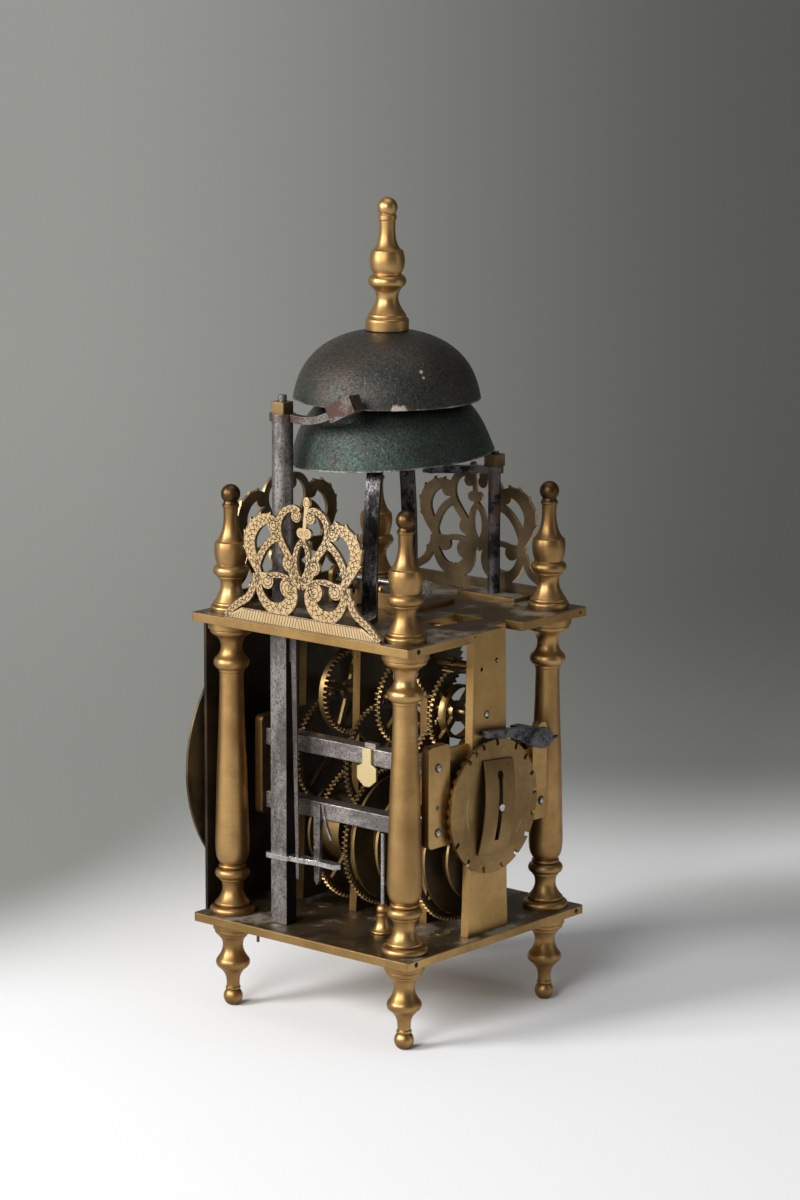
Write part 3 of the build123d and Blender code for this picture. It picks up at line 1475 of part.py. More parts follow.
spire_bore_depth = 8.0
strap_underside = strap_top_z - strap_thickness
stud_bottom = strap_underside - 8.0
stud_top = upper_bell_crown_z + spire_bore_depth - 0.5
stud_nut_side = 8.0
stud_nut_height = 4.0
with BuildPart() as bell_stud:
    with BuildSketch(level(stud_bottom, bell_stud_x, bell_stud_y)):
        Circle(bell_stud_radius)
    extrude(amount=stud_top - stud_bottom)
    with BuildSketch(level(strap_underside - 3.0 - stud_nut_height, bell_stud_x, bell_stud_y)):
        RectangleRounded(stud_nut_side, stud_nut_side, 0.8)
    extrude(amount=stud_nut_height)
save(bell_stud.part, "bell_stud")

spire_section = (
    (0, spire_bore_depth),
    ("line", (stud_bore, spire_bore_depth), (stud_bore, 0), (12.3, 0), (12.4, 5.0)),
    ("arc", (11.8, 6.6), (10.7, 7.2)),
    ("arc", (10.8, 8.4), (10.1, 9.4)),
    ("curve", (8.2, 12.4), (6.4, 17.0), (6.5, 20.0), (8.9, 24.2)),
    ("arc", (10.8, 27.4), (8.9, 30.8)),
    ("line", (8.1, 31.2), (8.1, 32.2)),
    ("curve", (9.3, 34.6), (9.95, 38.6), (8.8, 44.8)),
    ("line", (7.4, 45.6)),
    ("curve", (5.8, 48.4), (4.7, 53.0), (4.5, 57.0), (4.6, 61.6)),
    ("line", (5.2, 62.2), (5.2, 64.4), (4.7, 65.0)),
    *ball(spire_height - spire_ball, spire_ball, 4.5),
)
save(turned(spire_section, [(bell_stud_x, bell_stud_y)], upper_bell_crown_z), "spire")


# ------------------------------------------------------------------ frets
def lean(height, side):
    """The top of the scrollwork is cut askew: its middle and its left half reach over to the right."""
    return fret_lean * max(0.0, height - 35.0) / 40.0 * (side < 1)


def leaf_path(points, side):
    """The middle line of a leaf, mirrored to its side and set askew."""
    mirror = side or 1
    path = [(mirror * across + lean(height, side), height) for across, height in points]
    return Spline(*path, mode=Mode.PRIVATE)


def leaf_spot(spine, widths, share):
    """Where a leaf runs at a share of its length: its middle, its half width and the way across."""
    width = (1 - share) ** 2 * widths[0] + 2 * share * (1 - share) * widths[1] + share**2 * widths[2]
    along = spine % share
    return spine @ share, width / 2, Vector(-along.Y, along.X)


def leaf(points, widths, side):
    """A curved leaf whose width runs smoothly through the three given widths."""
    steps = 7
    left = []
    right = []
    with BuildLine() as lines:
        spine = leaf_path(points, side)
        for step in range(steps + 1):
            middle, half, across = leaf_spot(spine, widths, step / steps)
            left.append(middle + across * half)
            right.append(middle - across * half)
        Spline(*left)
        Line(left[-1], right[-1])
        Spline(*reversed(right))
        Line(right[0], left[0])
    make_face(lines.edges())


def leaf_tips(points, widths, side, shares):
    """Small points that stand out from the outer edge of a leaf, like those of acanthus."""
    outward = -(side or 1)
    for share in shares:
        with BuildLine() as lines:
            spine = leaf_path(points, side)
            middle, half, across = leaf_spot(spine, widths, share)
            along = spine % share
            base = middle + across * (outward * (half - 0.6))
            tip = base + across * (outward * leaf_tip_height) + along * leaf_tip_height
            Polyline(base - along * leaf_tip_base, base + along * leaf_tip_base / 2, tip, close=True)
        make_face(lines.edges())


foot_leaf = (
    [(57.0, 1.2), (52.5, 5.5), (46.5, 10.0), (39.5, 14.4), (35.6, 21.0), (32.0, 29.0)],
    (3.0, 6.0, 3.6),
)
crown_leaf = (
    [(30.8, 28.0), (36.4, 37.5), (39.8, 46.5), (36.4, 55.8), (28.5, 60.4), (21.0, 59.8)],
    (4.0, 13.0, 3.2),
)
scroll_leaves = (
    foot_leaf,
    crown_leaf,
    ([(9.0, 27.0), (6.4, 23.5), (6.5, 17.8), (10.0, 12.6), (16.5, 10.2)], (3.0, 11.0, 7.4)),
    ([(16.0, 10.4), (25.0, 11.6), (30.6, 18.4), (31.8, 27.0)], (7.4, 6.0, 4.2)),
    ([(26.0, 27.8), (30.5, 27.5), (33.0, 23.5)], (3.0, 3.4, 3.0)),
    ([(7.0, 27.4), (15.0, 29.4), (25.5, 27.6)], (3.0, 3.4, 3.0)),
    ([(17.6, 51.4), (24.6, 47.6), (29.4, 41.6), (32.6, 34.0)], (4.8, 4.0, 5.0)),
    ([(5.0, 67.0), (12.4, 68.0), (18.4, 62.4), (18.8, 53.6), (13.6, 45.4), (7.6, 37.5)], (3.4, 5.4, 4.4)),
    ([(8.4, 35.0), (5.4, 29.4), (0.0, 26.0)], (3.4, 5.2, 6.2)),
    ([(0.0, 51.0), (3.8, 47.4), (5.2, 41.0), (4.4, 34.0), (1.2, 28.0)], (3.2, 3.2, 4.6)),
)
scroll_eyes = ((9.8, 23.2, 5.7), (25.2, 25.2, 4.6), (22.9, 57.6, 4.4), (6.8, 64.4, 3.5), (9.2, 37.0, 4.6))
stem_leaf = ([(0.0, 49.0), (0.0, 60.0), (0.0, 71.0)], (2.6, 2.2, 2.6))
heart_z = 55.2
heart_half = 2.4
heart_radius = 2.9
bud_z = 72.4
strip_chamfer = 14.0
leaf_tip_height = 1.9
leaf_tip_base = 2.4


def fret_face():
    """Pierced scrollwork on a plain strip, much the same to the left and to the right."""
    half = fret_half_length
    with BuildLine() as outline:
        Polyline(
            (-half, 0),
            (half, 0),
            (half - strip_chamfer, fret_strip),
            (strip_chamfer - half, fret_strip),
            close=True,
        )
    make_face(outline.edges())
    for side in (-1, 1):
        for points, widths in scroll_leaves:
            leaf(points, widths, side)
        leaf_tips(*crown_leaf, side, (0.34, 0.48, 0.62, 0.76, 0.88))
        leaf_tips(*foot_leaf, side, (0.72, 0.9))
        for across, height, radius in scroll_eyes:
            with Locations((side * across + lean(height, side), height)):
                Circle(radius)
    leaf(*stem_leaf, 0)
    for across in (-heart_half, heart_half):
        with Locations((across + lean(heart_z, 0), heart_z)):
            Circle(heart_radius)
    with Locations((lean(bud_z, 0), bud_z)):
        Ellipse(2.4, 3.4)


def side_fret(side):
    """A fret at one side of the case, cut as it is seen from outside."""
    inner_face = side * (plate_width / 2 - fret_inset - fret_thickness)
    face_plane = Plane(
        origin=(inner_face, case_y + fret_centre, top_plate_top),
        x_dir=(0, side, 0),
        z_dir=(side, 0, 0),
    )
    with BuildPart() as fret:
        with BuildSketch(face_plane):
            fret_face()
        extrude(amount=fret_thickness)
    return fret.part


save(side_fret(1), "right_fret")
save(side_fret(-1), "left_fret")

fret_front_y = -plate_depth / 2 + fret_inset + fret_thickness / 2
with BuildPart() as front_fret:
    with BuildSketch(upright(fret_front_y + fret_thickness / 2, 0, top_plate_top)):
        fret_face()
    extrude(amount=fret_thickness)
save(front_fret.part, "front_fret")
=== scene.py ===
import math
import random

import bpy
from mathutils import Matrix, Vector


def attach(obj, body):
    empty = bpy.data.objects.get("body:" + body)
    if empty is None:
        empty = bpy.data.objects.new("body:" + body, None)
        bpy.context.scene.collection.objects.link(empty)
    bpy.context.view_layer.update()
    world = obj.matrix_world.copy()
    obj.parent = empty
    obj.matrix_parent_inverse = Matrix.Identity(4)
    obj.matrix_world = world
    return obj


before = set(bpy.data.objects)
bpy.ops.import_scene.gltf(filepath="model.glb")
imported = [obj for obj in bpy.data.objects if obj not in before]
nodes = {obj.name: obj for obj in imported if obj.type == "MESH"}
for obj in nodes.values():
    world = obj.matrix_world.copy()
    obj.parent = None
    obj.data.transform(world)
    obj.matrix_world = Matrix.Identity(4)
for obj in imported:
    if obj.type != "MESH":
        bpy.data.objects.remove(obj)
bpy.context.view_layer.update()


# ------------------------------------------------------------------ places on the solids, in metres
MM = 0.001
case_y = 3.8 * MM  # the middle of the case lies this far behind the origin
plate_top = 233.0 * MM  # upper face of the top plate
dial_z = 138.0 * MM  # height of the dial's centre
dial_face = case_y - 85.9 * MM
ring_face = case_y - 87.1 * MM  # face of the chapter ring
fret_centre = case_y + 1.7 * MM
outer_x = 78.9 * MM  # outer faces of the side frets
outer_y = -79.4 * MM + case_y  # outer face of the front fret
rear_edge = case_y + 80.5 * MM  # rear edges of both plates
bar_face = case_y + 73.3 * MM  # rear face of the rear bar
count_centre = (0.6 * MM, case_y + 78.0 * MM, 130.29 * MM)  # middle of the count wheel's outer face
upper_rim = 355.3 * MM  # height of the upper bell's rim
finial_brown = (258.0 * MM, 292.0 * MM)  # the finials turn brown between these heights
finial_dark = (293.5 * MM, 296.0 * MM)  # and dark between these
finial_end = (360.0 * MM, 400.0 * MM)  # both fade out again between these, so the spire stays bright

engraving_lift = 0.04 * MM  # engraved strokes lie this far above their face
spot_lift = 0.03 * MM

# The lower bell hangs askew: its axis, and how far along that its rim lies
lean = math.radians(4.0)
lean_turn = math.radians(-50.0)
sideways = math.sin(lean)
lower_axis = Vector((sideways * math.cos(lean_turn), sideways * math.sin(lean_turn), math.cos(lean)))
lower_crown = Vector((1.4 * MM, case_y - 1.7 * MM, 364.2 * MM))
lower_depth = 42.0 * MM
lower_rim = lower_axis.dot(lower_crown) - lower_depth


# ------------------------------------------------------------------ shader nets
class Net:
    """A small helper that builds one material's nodes."""

    def __init__(self, name):
        self.material = bpy.data.materials.new(name)
        self.material.use_nodes = True
        self.tree = self.material.node_tree
        self.tree.nodes.clear()
        self.coords = self.add("TexCoord").outputs["Object"]

    def add(self, kind, settings=None, **inputs):
        node = self.tree.nodes.new("ShaderNode" + kind)
        for key, value in (settings or {}).items():
            setattr(node, key, value)
        for key, value in inputs.items():
            self.put(node, key.replace("_", " "), value)
        return node

    def put(self, node, key, value):
        """Link or set the input that has this name or number."""
        socket = node.inputs[int(key)] if str(key).isdigit() else node.inputs[key]
        if isinstance(value, bpy.types.NodeSocket):
            self.tree.links.new(value, socket)
        elif isinstance(value, tuple) and len(value) == 3 and socket.type == "RGBA":
            socket.default_value = (*value, 1.0)
        else:
            socket.default_value = value

    def math(self, operation, a, b=0.0, clamp=False):
        node = self.add("Math", {"operation": operation, "use_clamp": clamp})
        self.put(node, 0, a)
        self.put(node, 1, b)
        return node.outputs[0]

    def times(self, a, b, clamp=False):
        return self.math("MULTIPLY", a, b, clamp)

    def plus(self, a, b):
        return self.math("ADD", a, b)

    def minus(self, a, b):
        return self.math("SUBTRACT", a, b)

    def scaled(self, x, y, z):
        node = self.add("Mapping", Vector=self.coords, Scale=(x, y, z))
        return node.outputs[0]

    def noise(self, scale, detail, rough, vector=None):
        """Uneven values round 0.5; the scale says about how many swings fit in a metre."""
        node = self.add("TexNoise", Scale=scale, Detail=detail, Roughness=rough, Vector=vector or self.coords)
        return node.outputs["Fac"]

    def ramp(self, value, low, high, start=0.0, end=1.0):
        """Goes softly from start, where the value is low, to end, where it is high."""
        node = self.add("MapRange", {"interpolation_type": "SMOOTHSTEP"}, Value=value)
        self.put(node, "From Min", low)
        self.put(node, "From Max", high)
        self.put(node, "To Min", start)
        self.put(node, "To Max", end)
        return node.outputs[0]

    def mix(self, share, a, b):
        """Colour a, with this share of it replaced by colour b."""
        node = self.add("Mix", {"data_type": "RGBA"})
        self.put(node, 0, share)
        self.put(node, 6, a)
        self.put(node, 7, b)
        return node.outputs[2]

    def compare(self, operation, a, b):
        node = self.add("VectorMath", {"operation": operation})
        self.put(node, 0, a)
        self.put(node, 1, b)
        return node.outputs["Value"]

    def dot(self, a, b):
        return self.compare("DOT_PRODUCT", a, b)

    def distance(self, a, b):
        return self.compare("DISTANCE", a, b)

    def split(self, vector):
        return self.add("SeparateXYZ", Vector=vector).outputs

    def height(self):
        return self.split(self.coords)[2]

    def normal(self):
        return self.add("NewGeometry").outputs["Normal"]

    def backward(self):
        """1 on faces that look to the back of the clock, -1 on those that look to its front."""
        return self.split(self.normal())[1]

    def upward(self):
        """1 on faces that look up, -1 on those that look down."""
        return self.split(self.normal())[2]

    def bevelled(self, radius):
        return self.add("Bevel", {"samples": 4}, Radius=radius).outputs[0]

    def bump(self, height, strength, distance, normal=None):
        node = self.add("Bump", Height=height, Strength=strength, Distance=distance)
        if normal:
            self.put(node, "Normal", normal)
        return node.outputs[0]

    def edges(self, soft):
        """Bright where the rounded normal leaves the true one, so along every sharp edge."""
        return self.ramp(self.dot(soft, self.normal()), 0.995, 0.86)

    def crevices(self, distance):
        """Bright in the corners that light hardly reaches: the mask for painted shade."""
        node = self.add("AmbientOcclusion", {"samples": 6}, Distance=distance)
        return self.ramp(node.outputs["AO"], 0.75, 0.15)

    def finish(self, **inputs):
        shader = self.add("BsdfPrincipled")
        for key, value in inputs.items():
            self.put(shader, key.replace("_", " "), value)
        output = self.add("OutputMaterial")
        self.tree.links.new(shader.outputs[0], output.inputs[0])
        return self.material


def shade(colour, factor):
    return tuple(part * factor for part in colour)


# ------------------------------------------------------------------ masks
def facing_inward(net):
    """1 on faces that look towards the middle of the case, 0 on those that look out."""
    flatten = net.add("Mapping", Vector=net.coords, Location=(0.0, -case_y, 0.0), Scale=(1.0, 1.0, 0.0))
    return net.ramp(net.dot(net.normal(), flatten.outputs[0]), 0.004, -0.004)


def facing_back(net):
    """1 on all faces but those that look to the front of the clock, the only ones that are polished."""
    return net.ramp(net.backward(), -0.8, -0.4)


def facing_along(net):
    """1 on the flat faces of wheels and bars, which look along the clock and get painted shade; 0 on their
    teeth and edges.
    """
    return net.ramp(net.math("ABSOLUTE", net.backward()), 0.6, 0.9)


def facing_front(net):
    """1 on the faces that look to the front, the hidden side of the rear bar."""
    return net.ramp(net.backward(), -0.4, -0.8)


def facing_rear_low(net):
    """Nearly 1 on the faces of the post that look to the rear below the top plate, which are painted nearly
    black as shade.
    """
    rear = net.ramp(net.backward(), 0.5, 0.8, 0.0, 0.95)
    return net.times(rear, net.ramp(net.height(), plate_top, plate_top - 4 * MM))


# ------------------------------------------------------------------ finishes
def turned_brass(name, bright, dull, brown, dirt_and_shade):
    """Lathe-turned brass: fine rings round the axis, uneven tarnish, dirt specks, painted shade in the
    grooves and corners, brown finials.
    """
    net = Net(name)
    soft = net.bevelled(0.4 * MM)
    rings = net.noise(1.0, 3.0, 0.7, net.scaled(18, 18, 2600))
    patches = net.noise(38.0, 5.0, 0.6)
    clouds = net.noise(14.0, 3.0, 0.5)
    specks = net.noise(420.0, 3.0, 0.7)
    colour = net.mix(net.ramp(patches, 0.36, 0.64), bright, dull)
    colour = net.mix(net.ramp(clouds, 0.46, 0.66, 0.0, 0.6), colour, brown)
    colour = net.mix(net.ramp(rings, 0.42, 0.72, 0.0, 0.4), colour, dull)
    colour = net.mix(net.ramp(specks, 0.66, 0.78, 0.0, 0.6), colour, dirt_and_shade)

    height = net.height()
    below_spire = net.ramp(height, finial_end[1], finial_end[0])
    colour = net.mix(net.times(net.ramp(height, *finial_brown, 0.0, 0.8), below_spire), colour, brown)
    colour = net.mix(net.times(net.ramp(height, *finial_dark, 0.0, 0.8), below_spire), colour, dirt_and_shade)
    # Painted shade: grooves and corners that light hardly reaches turn dark.
    colour = net.mix(net.times(net.crevices(12 * MM), 0.75), colour, dirt_and_shade)

    rough = net.plus(net.ramp(patches, 0.3, 0.7, 0.36, 0.46), net.ramp(specks, 0.5, 0.8, 0.0, 0.14))
    relief = net.plus(net.times(rings, 0.6), net.times(specks, 0.5))
    bump = net.bump(relief, 0.30, 0.12 * MM, soft)
    return net.finish(Base_Color=colour, Metallic=1.0, Roughness=rough, Normal=bump)


def flat_brass(name, bright, dull, dust_and_shade, grain=(60, 60, 60), dark_side=None, dark=None, smudge=None):
    """Hammered and filed brass; faces that look up lie under old dust; the dark side is darkened partly as
    tarnish, partly as painted shade; corners get painted shade.
    """
    net = Net(name)
    soft = net.bevelled(0.5 * MM)
    patches = net.noise(22.0, 6.0, 0.62)
    fine = net.noise(300.0, 4.0, 0.7)
    strokes = net.noise(1.0, 3.0, 0.7, net.scaled(*grain))
    colour = net.mix(net.ramp(patches, 0.34, 0.66), bright, dull)
    colour = net.mix(net.ramp(strokes, 0.45, 0.7, 0.0, 0.35), colour, dull)
    colour = net.mix(net.ramp(fine, 0.60, 0.76, 0.0, 0.5), colour, dust_and_shade)

    up = net.ramp(net.upward(), 0.5, 0.9)
    veil = net.times(up, net.ramp(patches, 0.28, 0.6, 0.97, 0.84))
    smudged = net.ramp(net.noise(26.0, 8.0, 0.74), 0.47, 0.60)
    stained = net.ramp(net.noise(17.0, 5.0, 0.6), 0.48, 0.40, 0.0, 0.85)
    layer = net.mix(smudged, dust_and_shade, smudge or dust_and_shade)
    layer = net.mix(stained, layer, shade(dust_and_shade, 0.35))
    colour = net.mix(veil, colour, layer)

    # The dark side: tarnish, and painted shade on the flat faces of wheels and bars inside the case.
    if dark_side is not None:
        uneven = net.ramp(net.noise(30.0, 6.0, 0.65), 0.36, 0.72, 1.0, 0.8)
        tarnish_and_shade = net.times(dark_side(net), uneven)
        colour = net.mix(tarnish_and_shade, colour, dark or dust_and_shade)
        veil = net.math("MAXIMUM", veil, tarnish_and_shade)
    # Painted shade in the corners that light hardly reaches.
    colour = net.mix(net.times(net.crevices(6 * MM), 0.7), colour, dark or dust_and_shade)
    worn = net.times(net.edges(soft), net.minus(0.55, net.times(veil, 0.5)))
    colour = net.mix(worn, colour, bright)

    metallic = net.minus(1.0, net.times(veil, 0.45))
    if smudge:
        metallic = net.minus(metallic, net.times(net.times(up, smudged), 0.5))
    rough = net.plus(net.ramp(patches, 0.3, 0.7, 0.36, 0.50), net.times(veil, 0.08))
    relief = net.plus(net.times(strokes, 0.6), net.times(fine, 0.5))
    bump = net.bump(relief, 0.4, 0.15 * MM, soft)
    return net.finish(Base_Color=colour, Metallic=metallic, Roughness=rough, Normal=bump)


def iron(
    name,
    light,
    dark,
    rust,
    rust_from=0.62,
    rough=(0.34, 0.6),
    depth=0.2 * MM,
    drawn=(1.0, 1.0, 0.45),
    dark_side=None,
):
    """Forged iron: grey and finely pitted along its length, with patches of rust and worn edges."""
    net = Net(name)
    soft = net.bevelled(0.4 * MM)
    grain = net.scaled(*drawn)
    patches = net.noise(60.0, 7.0, 0.7, grain)
    pits = net.noise(1300.0, 3.0, 0.7, grain)
    rust_patches = net.noise(30.0, 7.0, 0.7)
    worn = tuple(min(1.0, part) for part in shade(light, 1.6))
    colour = net.mix(net.ramp(patches, 0.42, 0.58), dark, light)
    colour = net.mix(net.ramp(pits, 0.38, 0.50, 0.85, 0.0), colour, shade(dark, 0.3))
    colour = net.mix(net.ramp(rust_patches, rust_from, rust_from + 0.08, 0.0, 0.85), colour, rust)
    colour = net.mix(net.times(net.edges(soft), 0.6), colour, worn)
    # Painted shade: the given side is turned nearly black.
    if dark_side is not None:
        colour = net.mix(dark_side(net), colour, shade(dark, 0.12))
    smooth, coarse = rough
    roughness = net.ramp(patches, 0.3, 0.7, coarse, smooth)
    relief = net.plus(pits, net.times(patches, 0.6))
    bump = net.bump(relief, 0.5, depth, soft)
    return net.finish(Base_Color=colour, Metallic=0.92, Roughness=roughness, Normal=bump)


fleck_colour = (0.36, 0.38, 0.31)
lip_colour = (0.36, 0.34, 0.25)
chalk_colour = (0.52, 0.49, 0.40)


def bell_skin(name, base, warm, green, axis, rim, green_reach, chalk):
    """Old bell metal: dark grainy patina, greener towards the rim, with chalky specks and a worn lip."""
    net = Net(name)
    soft = net.bevelled(0.5 * MM)
    patches = net.noise(34.0, 8.0, 0.7)
    streaks = net.noise(70.0, 9.0, 0.78)
    flecks = net.noise(95.0, 9.0, 0.75)
    fine = net.noise(520.0, 3.0, 0.8)
    ragged = net.noise(700.0, 4.0, 0.7)
    grit = net.noise(900.0, 3.0, 0.8)
    pale_green = tuple(part + 0.055 for part in shade(green, 1.6))

    reach = net.dot(net.coords, axis)
    low = net.ramp(reach, rim, rim + green_reach, 1.0, 0.0)
    greened = net.times(net.plus(low, 0.25), net.ramp(streaks, 0.44, 0.60), clamp=True)
    colour = net.mix(net.ramp(patches, 0.40, 0.60), base, warm)
    colour = net.mix(greened, colour, green)
    colour = net.mix(net.ramp(fine, 0.47, 0.60, 0.0, 0.7), colour, shade(base, 0.4))
    colour = net.mix(net.ramp(grit, 0.58, 0.64, 0.0, 0.7), colour, pale_green)
    colour = net.mix(net.ramp(flecks, 0.70, 0.75, 0.0, 0.8), colour, fleck_colour)

    lip = net.ramp(reach, rim + 1.0 * MM, rim + 0.5 * MM)
    worn_lip = net.times(lip, net.ramp(streaks, 0.44, 0.60, 0.05, 0.8))
    colour = net.mix(worn_lip, colour, lip_colour)
    for place, size in chalk:
        ragged_distance = net.plus(net.distance(net.coords, place), net.times(ragged, size))
        chipped = net.ramp(ragged_distance, size * 1.35, size * 1.05, 0.0, 0.9)
        colour = net.mix(chipped, colour, chalk_colour)

    relief = net.plus(net.times(fine, 0.8), net.times(grit, 0.6))
    bump = net.bump(relief, 1.0, 0.5 * MM, soft)
    rough = net.ramp(fine, 0.3, 0.7, 0.28, 0.50)
    return net.finish(Base_Color=colour, Metallic=0.6, Roughness=rough, Normal=bump)


def plain(name, colour, metallic, rough):
    """A fine-grained finish that drifts a little in tone."""
    net = Net(name)
    grain = net.noise(300.0, 4.0, 0.6)
    tone = net.mix(net.ramp(grain, 0.3, 0.7), shade(colour, 0.75), colour)
    bump = net.bump(grain, 0.25, 0.1 * MM)
    return net.finish(Base_Color=tone, Metallic=metallic, Roughness=rough, Normal=bump)


# Chalky chips as (place, size)
upper_chalk = [
    (Vector((38.4 * MM, case_y + 36.5 * MM, 355.6 * MM)), 4.0 * MM),
    (Vector((35.8 * MM, case_y + 38.9 * MM, 355.6 * MM)), 3.6 * MM),
    (Vector((20.7 * MM, case_y + 39.2 * MM, 375.5 * MM)), 1.6 * MM),
    (Vector((21.1 * MM, case_y + 41.5 * MM, 372.5 * MM)), 1.2 * MM),
]
lower_chalk = [(Vector((50.0 * MM, case_y + 12.0 * MM, 345.0 * MM)), 0.7 * MM)]

upright_bar_grain = (30, 30, 200)

looks = {
    "turned": turned_brass(
        "turned_brass",
        bright=(0.53, 0.325, 0.130),
        dull=(0.36, 0.212, 0.078),
        brown=(0.24, 0.132, 0.050),
        dirt_and_shade=(0.060, 0.036, 0.015),
    ),
    "plate": flat_brass(
        "plate_brass",
        bright=(0.47, 0.295, 0.115),
        dull=(0.29, 0.175, 0.062),
        dust_and_shade=(0.052, 0.038, 0.026),
        smudge=(0.265, 0.240, 0.208),
    ),
    "rear": flat_brass(
        "rear_bar_brass",
        bright=(0.56, 0.355, 0.142),
        dull=(0.40, 0.245, 0.090),
        dust_and_shade=(0.12, 0.075, 0.03),
        grain=upright_bar_grain,
        dark_side=facing_front,
    ),
    "inner": flat_brass(
        "inner_bar_brass",
        bright=(0.44, 0.27, 0.10),
        dull=(0.24, 0.14, 0.05),
        dust_and_shade=(0.05, 0.034, 0.018),
        grain=upright_bar_grain,
        dark_side=facing_along,
        dark=(0.030, 0.020, 0.011),
    ),
    "fret": flat_brass(
        "fret_brass",
        bright=(0.78, 0.58, 0.34),
        dull=(0.60, 0.42, 0.21),
        dust_and_shade=(0.13, 0.08, 0.032),
        grain=(120, 120, 120),
        dark_side=facing_inward,
        dark=(0.062, 0.038, 0.014),
    ),
    "wheel": flat_brass(
        "wheel_brass",
        bright=(0.60, 0.40, 0.17),
        dull=(0.36, 0.23, 0.09),
        dust_and_shade=(0.06, 0.04, 0.02),
        grain=(200, 200, 200),
        dark_side=facing_along,
        dark=(0.038, 0.026, 0.013),
    ),
    "count": flat_brass(
        "count_brass",
        bright=(0.34, 0.218, 0.088),
        dull=(0.215, 0.135, 0.053),
        dust_and_shade=(0.085, 0.056, 0.026),
        grain=(40, 40, 420),
    ),
    "dial": flat_brass(
        "dial_brass",
        bright=(0.66, 0.50, 0.26),
        dull=(0.48, 0.34, 0.15),
        dust_and_shade=(0.10, 0.065, 0.03),
        grain=(90, 90, 90),
        dark_side=facing_back,
        dark=(0.018, 0.011, 0.006),
    ),
    "back": flat_brass(
        "front_plate_brass",
        bright=(0.34, 0.21, 0.085),
        dull=(0.20, 0.12, 0.05),
        dust_and_shade=(0.05, 0.035, 0.02),
        dark_side=facing_back,
        dark=(0.012, 0.009, 0.006),
    ),
    "nut": flat_brass(
        "nut_brass",
        bright=(0.42, 0.28, 0.13),
        dull=(0.12, 0.076, 0.036),
        dust_and_shade=(0.13, 0.088, 0.050),
    ),
    "tab": flat_brass(
        "tab_brass",
        bright=(0.82, 0.68, 0.38),
        dull=(0.70, 0.55, 0.28),
        dust_and_shade=(0.34, 0.24, 0.11),
    ),
    "iron": iron(
        "arbor_iron",
        light=(0.45, 0.405, 0.38),
        dark=(0.18, 0.163, 0.155),
        rust=(0.30, 0.13, 0.065),
        rust_from=0.56,
        drawn=(1.0, 0.45, 1.0),
    ),
    "post": iron(
        "post_iron",
        light=(0.33, 0.298, 0.278),
        dark=(0.14, 0.123, 0.118),
        rust=(0.20, 0.13, 0.10),
        rust_from=0.64,
        dark_side=facing_rear_low,
    ),
    "dark_iron": iron(
        "detent_iron",
        light=(0.185, 0.172, 0.182),
        dark=(0.022, 0.020, 0.022),
        rust=(0.13, 0.075, 0.05),
        rust_from=0.54,
        drawn=(1.0, 1.0, 1.0),
    ),
    "strip": iron(
        "strip_iron",
        light=(0.22, 0.18, 0.165),
        dark=(0.10, 0.08, 0.075),
        rust=(0.20, 0.12, 0.09),
        rust_from=0.6,
        rough=(0.3, 0.5),
        depth=0.1 * MM,
    ),
    "strap": iron(
        "strap_iron",
        light=(0.19, 0.175, 0.17),
        dark=(0.016, 0.014, 0.014),
        rust=(0.24, 0.19, 0.16),
        rough=(0.10, 0.26),
        depth=0.08 * MM,
    ),
    "hammer": iron(
        "hammer_iron",
        light=(0.30, 0.27, 0.25),
        dark=(0.14, 0.105, 0.09),
        rust=(0.115, 0.056, 0.043),
        rust_from=0.47,
        rough=(0.26, 0.44),
    ),
    "steel": iron(
        "bright_steel",
        light=(0.66, 0.64, 0.62),
        dark=(0.46, 0.44, 0.43),
        rust=(0.34, 0.26, 0.20),
        rust_from=0.76,
        rough=(0.2, 0.36),
        depth=0.06 * MM,
    ),
    "upper": bell_skin(
        "upper_bell_skin",
        base=(0.038, 0.036, 0.031),
        warm=(0.066, 0.047, 0.036),
        green=(0.034, 0.052, 0.041),
        axis=(0, 0, 1),
        rim=upper_rim,
        green_reach=22 * MM,
        chalk=upper_chalk,
    ),
    "lower": bell_skin(
        "lower_bell_skin",
        base=(0.027, 0.036, 0.031),
        warm=(0.038, 0.037, 0.032),
        green=(0.032, 0.058, 0.045),
        axis=tuple(lower_axis),
        rim=lower_rim,
        green_reach=40 * MM,
        chalk=lower_chalk,
    ),
    "engraving": plain("engraved_line", (0.066, 0.038, 0.016), metallic=0.3, rough=0.6),
    "ink": plain("black_wax", (0.018, 0.016, 0.014), metallic=0.0, rough=0.45),
    # Near-black painted shade for holes and bores.
    "hole": plain("painted_hole_shade", (0.004, 0.003, 0.003), metallic=0.0, rough=0.95),
    "scratch": plain("bright_scratch", (0.62, 0.50, 0.27), metallic=1.0, rough=0.42),
}

finish_of = {
    "turned": """pillar_front_right pillar_front_left pillar_rear_right pillar_rear_left
        feet finials spire lock_knob""",
    "plate": "bottom_plate top_plate quarter_bracket verge_cocks",
    "rear": "rear_bar",
    "inner": "front_bar middle_bar inner_bar crown_potence",
    "nut": "hour_hammer_nut quarter_hammer_nut bell_spacers",
    "tab": "lifting_tab",
    "fret": "right_fret left_fret front_fret",
    "back": "front_plate",
    "dial": "dial chapter_ring",
    "count": "count_wheel count_spring",
    "wheel": """going_great_wheel going_second_wheel contrate_wheel crown_wheel motion_wheel
        hour_great_wheel hour_second_wheel hour_third_wheel hour_fly
        quarter_great_wheel quarter_second_wheel quarter_third_wheel quarter_fly""",
    "post": "hour_hammer_post",
    "iron": "upper_lever lower_lever",
    "dark_iron": "count_detent quarter_hammer_post hour_hand quarter_hammer",
    "strap": "bell_strap",
    "hammer": "hour_hammer",
    "strip": "hour_hammer_strip",
    "steel": "bell_stud count_stud lock_rod hour_hammer_tail verge",
    "upper": "upper_bell",
    "lower": "lower_bell",
}
